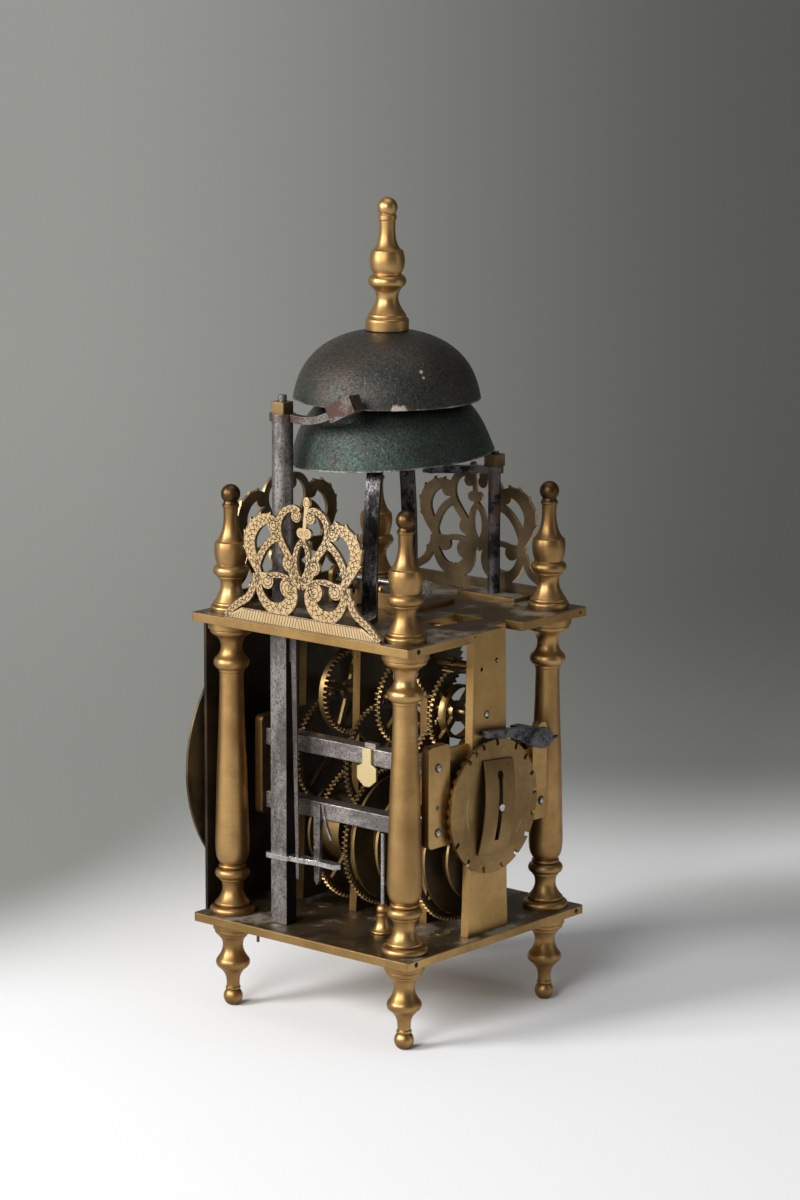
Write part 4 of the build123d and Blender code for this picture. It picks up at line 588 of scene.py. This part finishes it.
for look, names in finish_of.items():
    for name in names.split():
        nodes[name].data.materials.clear()
        nodes[name].data.materials.append(looks[look])


# ------------------------------------------------------------------ small meshes
def mesh_object(name, vertices, faces, material):
    mesh = bpy.data.meshes.new(name)
    mesh.from_pydata([tuple(v) for v in vertices], [], faces)
    mesh.update()
    mesh.materials.append(material)
    item = bpy.data.objects.new(name, mesh)
    bpy.context.scene.collection.objects.link(item)
    return item


def even_turn(index, count):
    """The angle of one of count even steps round a circle."""
    return 2 * math.pi * index / count


def polar(radius, angle):
    return (radius * math.cos(angle), radius * math.sin(angle))


def on_dial(radius, angle):
    """A point of the dial, the angle taken clockwise from XII."""
    return (radius * math.sin(angle), radius * math.cos(angle))


class Ink:
    """Collects thin strips that lie on one flat face, in its millimetres, then makes one mesh of them."""

    def __init__(self, origin, across, upward):
        self.origin = Vector(origin)
        self.across = Vector(across)
        self.upward = Vector(upward)
        self.lift = self.across.cross(self.upward) * engraving_lift
        self.vertices = []
        self.faces = []

    def place(self, u, v):
        return self.origin + self.across * (u * MM) + self.upward * (v * MM) + self.lift

    def strip(self, points, widths):
        """A strip along the points, whose width goes from the first of widths to the second."""
        first = len(self.vertices)
        last = len(points) - 1
        for index, (u, v) in enumerate(points):
            before = points[max(0, index - 1)]
            after = points[min(last, index + 1)]
            along = Vector((after[0] - before[0], after[1] - before[1]))
            if along.length < 1e-9:
                along = Vector((1.0, 0.0))
            along.normalize()
            share = index / last
            width = widths[0] + (widths[1] - widths[0]) * share
            self.vertices.append(self.place(u - along.y * width / 2, v + along.x * width / 2))
            self.vertices.append(self.place(u + along.y * width / 2, v - along.x * width / 2))
        for index in range(last):
            k = first + 2 * index
            self.faces.append((k + 1, k + 3, k + 2, k))

    def line(self, points, width):
        self.strip(points, (width, width))

    def ring(self, u, v, radius, width, start=0.0, turns=1.0, end_radius=None):
        """A circle, or a part of one, or a curl that ends at another radius."""
        steps = max(12, int(48 * abs(turns)))
        final = radius if end_radius is None else end_radius
        points = []
        for step in range(steps + 1):
            share = step / steps
            x, y = polar(radius + (final - radius) * share, start + 2 * math.pi * turns * share)
            points.append((u + x, v + y))
        self.line(points, width)

    def build(self, name, material):
        return mesh_object(name, self.vertices, self.faces, material)


def spline(points, steps):
    """Catmull-Rom curve through the points: (position, direction) at even steps."""
    padded = [points[0], *points, points[-1]]
    spans = len(points) - 1
    found = []
    for step in range(steps + 1):
        place = min(spans - 1e-6, spans * step / steps)
        span = int(place)
        t = place - span
        p0, p1, p2, p3 = (Vector(point) for point in padded[span : span + 4])
        straight = p2 - p0
        square = 2 * p0 - 5 * p1 + 4 * p2 - p3
        cube = 3 * p1 - p0 - 3 * p2 + p3
        spot = 0.5 * (2 * p1 + straight * t + square * t * t + cube * t**3)
        slope = 0.5 * (straight + 2 * square * t + 3 * cube * t * t)
        found.append((spot, slope.normalized() if slope.length > 1e-9 else Vector((1, 0))))
    return found


# ------------------------------------------------------------------ engraving of the frets
# The leaves of one half of a fret, in millimetres across and up from the middle of its foot:
# the line along each, and its widths towards the root, the middle and the tip
fret_leaves = [
    ([(57.0, 1.2), (52.5, 5.5), (46.5, 10.0), (39.5, 14.4), (35.6, 21.0), (32.0, 29.0)], (3.0, 6.0, 3.6)),
    ([(9.0, 27.0), (6.4, 23.5), (6.5, 17.8), (10.0, 12.6), (16.5, 10.2)], (3.0, 11.0, 7.4)),
    ([(16.0, 10.4), (25.0, 11.6), (30.6, 18.4), (31.8, 27.0)], (7.4, 6.0, 4.2)),
    ([(7.0, 27.4), (15.0, 29.4), (25.5, 27.6)], (3.0, 3.4, 3.0)),
    ([(30.8, 28.0), (36.4, 37.5), (39.8, 46.5), (36.4, 55.8), (28.5, 60.4), (21.0, 59.8)], (4.0, 13.0, 3.2)),
    ([(17.6, 51.4), (24.6, 47.6), (29.4, 41.6), (32.6, 34.0)], (4.8, 4.0, 5.0)),
    ([(5.0, 67.0), (12.4, 68.0), (18.4, 62.4), (18.8, 53.6), (13.6, 45.4), (7.6, 37.5)], (3.4, 5.4, 4.4)),
    ([(8.4, 35.0), (5.4, 29.4), (0.0, 26.0)], (3.4, 5.2, 6.2)),
    ([(0.0, 51.0), (3.8, 47.4), (5.2, 41.0), (4.4, 34.0), (1.2, 28.0)], (3.2, 3.2, 4.6)),
]
# The curled eyes of one half as (across, up, radius)
fret_eyes = [(9.8, 23.2, 5.7), (25.2, 25.2, 4.6), (22.9, 57.6, 4.4), (6.8, 64.4, 3.5), (9.2, 37.0, 4.6)]

leaf_step = 2.5  # millimetres of leaf to a step
points_to_step = 8
strokes_to_step = 1.5
# One curled stroke: points along the leaf, and shares of its half width across it
leaf_curl = [
    (0, -0.42),
    (4, -0.24),
    (8, 0.06),
    (11, 0.40),
    (12.5, 0.68),
    (11.5, 0.86),
    (9.2, 0.80),
    (8.6, 0.62),
]
leaf_edge = 0.93  # the edge lines run at this share of the half width

# An eye, in shares of its radius: its curl winds in, and short strokes stand round it
curl_start = 0.84
curl_end = 0.14
eye_strokes = 9
stroke_near = 0.6
stroke_far = 0.93
stroke_slant = 0.3  # radians

hatch_half = 56.0  # the hatched foot reaches this far to both sides
hatch_step = 2.05
hatch_foot = 1.0
hatch_top = 6.9
hatch_shoulder = 42.0  # beyond this the hatching gets lower
hatch_fall = 0.42
hatch_slant = 1.7

# Widths of strokes in millimetres, at their start and their end
leaf_stroke = (0.52, 0.32)
eye_stroke = (0.5, 0.26)
hatch_stroke = (0.42, 0.36)
petal_line = (0.5, 0.25)
petal_stroke = (0.32, 0.1)
stray_stroke = (0.12, 0.08)


def askew(v, side):
    """How far the left half and the middle of the crest lean across at the height v."""
    return 4.4 * max(0.0, v - 35.0) / 40.0 * (side < 1)


def engrave_leaf(ink, rng, path, widths):
    """One leaf: strokes that run out and curl to one side and the other in turn, inside two fine lines."""
    length = sum((Vector(a) - Vector(b)).length for a, b in zip(path, path[1:]))
    count = max(3, int(length / leaf_step))
    spots = spline(path, count * points_to_step)
    last = len(spots) - 1
    root, middle, tip = widths

    def on_leaf(step, across):
        """A place of the leaf, across it in shares of its half width."""
        spot, along = spots[max(0, min(last, int(step)))]
        share = max(0.0, min(1.0, step / last))
        width = (1 - share) ** 2 * root + 2 * share * (1 - share) * middle + share**2 * tip
        return tuple(spot + Vector((-along.y, along.x)) * (across * width / 2))

    for index in range(int(strokes_to_step * count)):
        edge = 1 if index % 2 else -1
        start = index * points_to_step / strokes_to_step
        wobble = rng.uniform(-0.06, 0.06)
        ink.strip([on_leaf(start + step, edge * (reach + wobble)) for step, reach in leaf_curl], leaf_stroke)
    for edge in (-leaf_edge, leaf_edge):
        ink.line([on_leaf(step, edge) for step in range(0, last + 1, 2)], 0.20)


def engrave_eye(ink, rng, u, v, radius, side):
    """A curl that winds inwards, with short slanting strokes round it."""
    ink.ring(u, v, radius * curl_start, 0.50, rng.uniform(0, 6.0), side * 1.7, radius * curl_end)
    for k in range(eye_strokes):
        angle = even_turn(k, eye_strokes) + rng.uniform(-0.1, 0.1)
        near_x, near_y = polar(radius * stroke_near, angle)
        far_x, far_y = polar(radius * stroke_far, angle + stroke_slant)
        ink.strip([(u + far_x, v + far_y), (u + near_x, v + near_y)], eye_stroke)


def engrave_foot(ink):
    """Hatching that leans towards the middle, with a line under it and one above it."""
    for k in range(int(2 * hatch_half / hatch_step)):
        u = -hatch_half + hatch_step * (k + 0.5)
        beyond = abs(u) - hatch_shoulder
        top = hatch_top if beyond < 0 else max(1.2, hatch_top - beyond * hatch_fall)
        slant = hatch_slant if u < -2 else -hatch_slant
        ink.strip([(u - slant * 0.5, hatch_foot), (u + slant * 0.5, top)], hatch_stroke)
    ink.line([(-57.5, 0.7), (57.5, 0.7)], 0.34)
    ink.line([(-44.0, 7.0), (44.0, 7.0)], 0.40)


def engrave_crest(ink):
    """A curl in each half of the heart, and a ring in the bud above it."""
    heart_height = 55.2
    bud_height = 72.4
    for side in (-1, 1):
        ink.ring(askew(heart_height, 0) + side * 2.3, heart_height, 2.0, 0.3, 1.0, side * 1.3, 0.5)
    ink.ring(askew(bud_height, 0), bud_height, 1.7, 0.3)


def engrave_fret(name, origin, across):
    """Leaves, curled eyes, a hatched foot and the crest, cut into the outer face of a fret."""
    rng = random.Random(name)
    ink = Ink(origin, across, (0, 0, 1))
    for side in (-1, 1):
        for path, widths in fret_leaves:
            engrave_leaf(ink, rng, [(side * u + askew(v, side), v) for u, v in path], widths)
        for u, v, radius in fret_eyes:
            engrave_eye(ink, rng, side * u + askew(v, side), v, radius, side)
    engrave_foot(ink)
    engrave_crest(ink)
    item = ink.build(name, looks["engraving"])
    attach(item, "case")


engrave_fret("right_engraving", (outer_x, fret_centre, plate_top), (0, 1, 0))
engrave_fret("left_engraving", (-outer_x, fret_centre, plate_top), (0, -1, 0))
engrave_fret("front_engraving", (0, outer_y, plate_top), (1, 0, 0))


# ------------------------------------------------------------------ chapter ring
outer_circle = 77.0
minute_circle = 72.6
double_circle = 71.8
quarter_circle = 57.6
inner_circle = 53.6
numeral_middle = 64.7  # the numerals stand on a ring of this radius
numeral_bend = 66.0  # and are bent round this one
numeral_half = 5.6  # half of their height
letter_widths = {"I": 3.0, "V": 6.0, "X": 6.4}
letter_margin = 0.9
thick = 1.7
thin = 0.55
serif_half = 1.3
serif_width = 0.45
numerals = ["XII", "I", "II", "III", "IIII", "V", "VI", "VII", "VIII", "IX", "X", "XI"]


def engrave_divisions(ink, count, inner, outer, main_every, main_width, width):
    """Marks from the inner to the outer circle, wider where a main one falls."""
    for mark in range(count):
        angle = even_turn(mark, count)
        ink.line([on_dial(inner, angle), on_dial(outer, angle)], width if mark % main_every else main_width)


def letter_strokes(letter, left, right):
    """The strokes of a letter as (start, end, first and last width), and the ends that have a serif."""
    low, high = -numeral_half, numeral_half
    middle = (left + right) / 2
    if letter == "I":
        strokes = [((middle, low), (middle, high), (thick, thick))]
        ends = [(middle, low), (middle, high)]
    elif letter == "V":
        strokes = [
            ((left, high), (middle, low), (thick, thick * 0.8)),
            ((right, high), (middle, low), (thin, thin)),
        ]
        ends = [(left, high), (right, high)]
    else:
        strokes = [
            ((left, high), (right, low), (thick, thick)),
            ((right, high), (left, low), (thin, thin)),
        ]
        ends = [(left, high), (right, low), (right, high), (left, low)]
    return strokes, ends


def engrave_numeral(ink, text, angle):
    """A Roman numeral that stands on the ring at this angle, its letters side by side."""

    def put(x, y):
        return on_dial(numeral_middle + y, angle + x / numeral_bend)

    cursor = -sum(letter_widths[letter] for letter in text) / 2
    for letter in text:
        width = letter_widths[letter]
        strokes, ends = letter_strokes(letter, cursor + letter_margin, cursor + width - letter_margin)
        for start, end, widths in strokes:
            ink.strip([put(*start), put(*end)], widths)
        for x, y in ends:
            ink.line([put(x - serif_half, y), put(x + serif_half, y)], serif_width)
        cursor += width


ink = Ink((0, ring_face, dial_z), (1, 0, 0), (0, 0, 1))
for radius in (outer_circle, minute_circle, double_circle, quarter_circle, inner_circle):
    ink.ring(0, 0, radius, 0.35)
engrave_divisions(ink, 48, inner_circle, quarter_circle, main_every=4, main_width=0.5, width=0.3)
engrave_divisions(ink, 60, minute_circle, outer_circle, main_every=5, main_width=0.5, width=0.25)
for hour, text in enumerate(numerals):
    engrave_numeral(ink, text, even_turn(hour, 12))
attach(ink.build("chapter_numerals", looks["ink"]), "case")


# ------------------------------------------------------------------ dial engraving
dial_circles = (50.6, 49.4, 12.0, 11.2)
petal_count = 8
# The right edge of the petal that points up, in millimetres from the middle of the dial
petal_edge = [(0.0, 13.0), (6.0, 22.0), (9.5, 33.0), (4.0, 43.0), (0.0, 48.0)]
petal_points = 26
petal_middle = 30.0


def engrave_petal(ink, rng, turn):
    """Both edges of a petal, each with short strokes inwards, and a curl in its middle."""
    for side in (-1, 1):
        bent = []
        for edge_x, y in petal_edge:
            x = side * edge_x
            bent.append((x * math.cos(turn) - y * math.sin(turn), x * math.sin(turn) + y * math.cos(turn)))
        spots = spline(bent, petal_points)
        ink.strip([tuple(spot) for spot, _ in spots], petal_line)
        for spot, along in spots[2:-2:2]:
            inwards = Vector((-along.y, along.x)) * side
            end = spot + inwards * rng.uniform(2.0, 3.4) + along * 1.6
            ink.strip([tuple(spot), tuple(end)], petal_stroke)
    ink.ring(-petal_middle * math.sin(turn), petal_middle * math.cos(turn), 3.0, 0.35, turn, 1.6, 0.6)


ink = Ink((0, dial_face, dial_z), (1, 0, 0), (0, 0, 1))
rng = random.Random(5)
for radius in dial_circles:
    ink.ring(0, 0, radius, 0.3)
for petal in range(petal_count):
    engrave_petal(ink, rng, even_turn(petal, petal_count))
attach(ink.build("dial_engraving", looks["engraving"]), "case")


# ------------------------------------------------------------------ small holes, marks and polished ends
disc_segments = 24


def spot_disc(name, centre, radius, material, body="case", dome=0.0):
    """A thin round spot, or a shallow dome, on a face that looks to the rear."""
    normal = Vector((0, 1, 0))
    side = normal.orthogonal().normalized()
    other = normal.cross(side)
    rings = 4 if dome else 1
    vertices = [Vector(centre) + normal * (dome + spot_lift)]
    faces = []
    for ring in range(1, rings + 1):
        share = ring / rings
        height = dome * (1 - share**2) + spot_lift
        for k in range(disc_segments):
            angle = even_turn(k, disc_segments)
            outward = side * math.cos(angle) + other * math.sin(angle)
            vertices.append(Vector(centre) + normal * height + outward * radius * share)
    for k in range(disc_segments):
        after = (k + 1) % disc_segments
        faces.append((0, 1 + k, 1 + after))
        for ring in range(1, rings):
            a = 1 + (ring - 1) * disc_segments
            b = 1 + ring * disc_segments
            faces.append((a + k, b + k, b + after, a + after))
    item = mesh_object(name, vertices, faces, material)
    for polygon in item.data.polygons:
        polygon.use_smooth = bool(dome)
    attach(item, body)


# Holes in the rear edges of the plates, drawn as near-black discs of painted shade: name, x, z and radius in
# millimetres
for name, x, z, radius in (
    ("top_hole_near", 71.0, 230.6, 1.5),
    ("top_hole_mid", 22.0, 231.2, 0.6),
    ("top_hole_far", -73.5, 230.6, 0.9),
    ("bottom_hole_near", 72.0, 53.6, 1.5),
    ("bottom_hole_far", -73.0, 53.6, 1.4),
):
    spot_disc(name, (x * MM, rear_edge, z * MM), radius * MM, looks["hole"])

# Polished ends of the arbors in the rear bar, each in a bore drawn as a dark disc of painted shade: name, x,
# z and moving body
arbor_end = bar_face + 1.0 * MM
for name, x, z, body in (
    ("upper_lever_end", 45.0, 159.7, "upper_lever_arbor"),
    ("lower_lever_end", 45.0, 122.6, "lower_lever_arbor"),
    ("detent_end", -47.9, 123.6, "detent_arbor"),
):
    spot_disc(name, (x * MM, arbor_end, z * MM), 2.0 * MM, looks["steel"], body, dome=0.7 * MM)
    spot_disc(name + "_bore", (x * MM, bar_face, z * MM), 2.6 * MM, looks["hole"])

# A pin and a screw in the rear bar, each in a bore drawn as a dark disc of painted shade: name, x, z, radius
# and the radius of the bore
for name, x, z, radius, bore in (
    ("upper_pin", -6.9, 212.4, 0.7, 1.3),
    ("lower_screw", 2.0, 182.9, 1.7, 2.3),
):
    spot_disc(name, (x * MM, bar_face, z * MM), radius * MM, looks["steel"], dome=0.35 * MM)
    spot_disc(name + "_bore", ((x + 0.35) * MM, bar_face, z * MM), bore * MM, looks["hole"])
spot_disc("ear_stain", (45.6 * MM, bar_face, 136.9 * MM), 1.5 * MM, looks["dark_iron"])


# ------------------------------------------------------------------ thin peg below the bottom plate
# It stands in front of the hour hammer's post, and stops 1 mm short of the plate's underside
peg_centre = Vector((61.7 * MM, case_y - 46.9 * MM, 0))
peg_top = 50.0 * MM
peg_foot = 40.6 * MM
peg_radius = 0.9 * MM
peg_sides = 16
rim = []
for k in range(peg_sides):
    angle = even_turn(k, peg_sides)
    rim.append(peg_centre + peg_radius * Vector((math.cos(angle), math.sin(angle), 0)))
vertices = [point + Vector((0, 0, z)) for z in (peg_top, peg_foot) for point in rim]
faces = [(k, k + peg_sides, (k + 1) % peg_sides + peg_sides, (k + 1) % peg_sides) for k in range(peg_sides)]
faces.append(tuple(range(peg_sides, 2 * peg_sides))[::-1])
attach(mesh_object("post_tenon", vertices, faces, looks["dark_iron"]), "case")


# ------------------------------------------------------------------ scratches on the count wheel
# Worn arcs as (radius, start, turns), then short stray scratches
worn_arcs = [(25.0, 2.75, 0.13), (24.2, 2.80, 0.11), (27.5, -0.75, 0.05), (26.4, 0.95, 0.04)]
stray_count = 26
ink = Ink(count_centre, (-1, 0, 0), (0, 0, 1))
rng = random.Random(11)
for radius, start, turns in worn_arcs:
    ink.ring(0, 0, radius, 0.28, start, turns)
for scratch in range(stray_count):
    angle = rng.uniform(0, 2 * math.pi)
    reach = rng.uniform(18.0, 34.0)
    heading = angle + rng.uniform(0.9, 2.2)
    length = rng.uniform(2.0, 7.0)
    x, y = polar(reach, angle)
    run_x, run_y = polar(length, heading)
    ink.strip([(x, y), (x + run_x, y + run_y)], stray_stroke)
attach(ink.build("count_scratches", looks["scratch"]), "count")


# ------------------------------------------------------------------ camera
# Where the photo was taken from: the place of the lens and the three axes of the picture
eye_place = Vector((1.69119, 1.42992 + case_y, 0.68163))
forward = Vector((-0.75037521, -0.63121054, -0.19624042))
right = Vector((-0.64422291, 0.76483085, 0.00325931))
upward = Vector((-0.14803341, -0.12886828, 0.98055039))
camera_data = bpy.data.cameras.new("camera")
camera_data.lens = 118.63
camera_data.sensor_width = 36.0
camera = bpy.data.objects.new("camera", camera_data)
camera.matrix_world = Matrix(
    (
        (right.x, upward.x, -forward.x, eye_place.x),
        (right.y, upward.y, -forward.y, eye_place.y),
        (right.z, upward.z, -forward.z, eye_place.z),
        (0, 0, 0, 1),
    )
)
bpy.context.scene.collection.objects.link(camera)
bpy.context.scene.camera = camera


# ------------------------------------------------------------------ studio
away = Vector((forward.x, forward.y, 0)).normalized()  # from the camera, along the floor
aside = Vector((right.x, right.y, 0)).normalized()  # to the right of the picture
bend_start = 0.3  # the floor runs this far behind the clock, then bends up
bend_radius = 0.55
bend_steps = 16
sweep_half = 3.0
sweep_columns = 24


def sweep_mesh():
    """Vertices and faces of a floor that bends up into a wall."""
    profile = [(-3.2, 0.0), (-1.0, 0.0), (-0.4, 0.0), (0.0, 0.0), (bend_start, 0.0)]
    for step in range(1, bend_steps + 1):
        angle = math.pi / 2 * step / bend_steps
        profile.append((bend_start + bend_radius * math.sin(angle), bend_radius * (1 - math.cos(angle))))
    wall = bend_start + bend_radius
    profile += [(wall, 1.0), (wall, 1.8), (wall, 3.2)]
    vertices = []
    for depth, height in profile:
        for column in range(sweep_columns + 1):
            across = -sweep_half + 2 * sweep_half * column / sweep_columns
            vertices.append(away * depth + aside * across + Vector((0, 0, height)))
    faces = []
    for row in range(len(profile) - 1):
        for column in range(sweep_columns):
            k = row * (sweep_columns + 1) + column
            faces.append((k, k + 1, k + sweep_columns + 2, k + sweep_columns + 1))
    return vertices, faces


def backdrop_paper():
    """A white floor that fades into a wall painted grey as shade, darker to the right, with a painted shadow
    of the clock on the floor; seen only from its front.
    """
    net = Net("backdrop_paper")
    depth = net.dot(net.coords, tuple(away))
    across = net.dot(net.coords, tuple(aside))
    run = net.plus(depth, net.height())
    # The wall's greys, lighter up and to the left, are painted shade.
    left_wall = net.mix(net.ramp(run, 0.45, 1.1), (0.262, 0.264, 0.25), (0.32, 0.321, 0.305))
    right_wall = net.mix(net.ramp(run, 0.42, 0.78), (0.23, 0.232, 0.222), (0.122, 0.123, 0.115))
    wall = net.mix(net.ramp(across, -0.26, 0.32), left_wall, right_wall)
    # A painted shadow of the clock on the floor to its right.
    shadow_near = net.times(net.ramp(across, 0.08, 0.28), net.ramp(run, 0.06, 0.20))
    floor_shadow = net.times(shadow_near, net.ramp(run, 0.36, 0.22))
    floor = net.mix(floor_shadow, (0.835, 0.84, 0.855), (0.56, 0.56, 0.56))
    floor_end = net.ramp(across, -0.16, 0.14, -0.03, 0.27)
    wall_start = net.ramp(across, -0.27, -0.10, 0.24, 0.51)
    paper = net.mix(net.ramp(run, floor_end, wall_start), floor, wall)

    behind = net.add("NewGeometry").outputs["Backfacing"]
    backing = net.add("BsdfDiffuse", Color=paper, Roughness=0.5)
    clear = net.add("BsdfTransparent")
    blend = net.add("MixShader")
    net.put(blend, 0, behind)
    net.put(blend, 1, backing.outputs[0])
    net.put(blend, 2, clear.outputs[0])
    output = net.add("OutputMaterial")
    net.put(output, 0, blend.outputs[0])
    return net.material


backdrop = mesh_object("backdrop", *sweep_mesh(), backdrop_paper())
for polygon in backdrop.data.polygons:
    polygon.use_smooth = True

lamp_aim = Vector((0, 0, 0.22))  # about the middle of the clock


def softbox(name, place, size, power, colour=(1, 1, 1)):
    light = bpy.data.lights.new(name, "AREA")
    light.shape = "RECTANGLE"
    light.size, light.size_y = size
    light.energy = power
    light.color = colour
    item = bpy.data.objects.new(name, light)
    item.location = place
    item.rotation_euler = (lamp_aim - place).to_track_quat("-Z", "Y").to_euler()
    bpy.context.scene.collection.objects.link(item)


softbox("side", -aside * 1.9 - away * 0.85 + Vector((0, 0, 1.10)), (0.9, 0.9), 50.0, (1.0, 0.99, 0.97))
softbox("front", -aside * 0.80 - away * 1.65 + Vector((0, 0, 1.05)), (0.8, 0.9), 18.0)
softbox("rim", aside * 1.5 - away * 0.4 + Vector((0, 0, 0.6)), (0.2, 1.0), 1.0)
softbox("top", -away * 0.1 + Vector((0, 0, 1.9)), (1.2, 1.2), 6.0)

world = bpy.data.worlds.new("studio")
world.use_nodes = True
world_light = world.node_tree.nodes["Background"]
world_light.inputs["Color"].default_value = (0.20, 0.20, 0.20, 1)
world_light.inputs["Strength"].default_value = 0.45
bpy.context.scene.world = world
bpy.context.scene.view_settings.view_transform = "Standard"
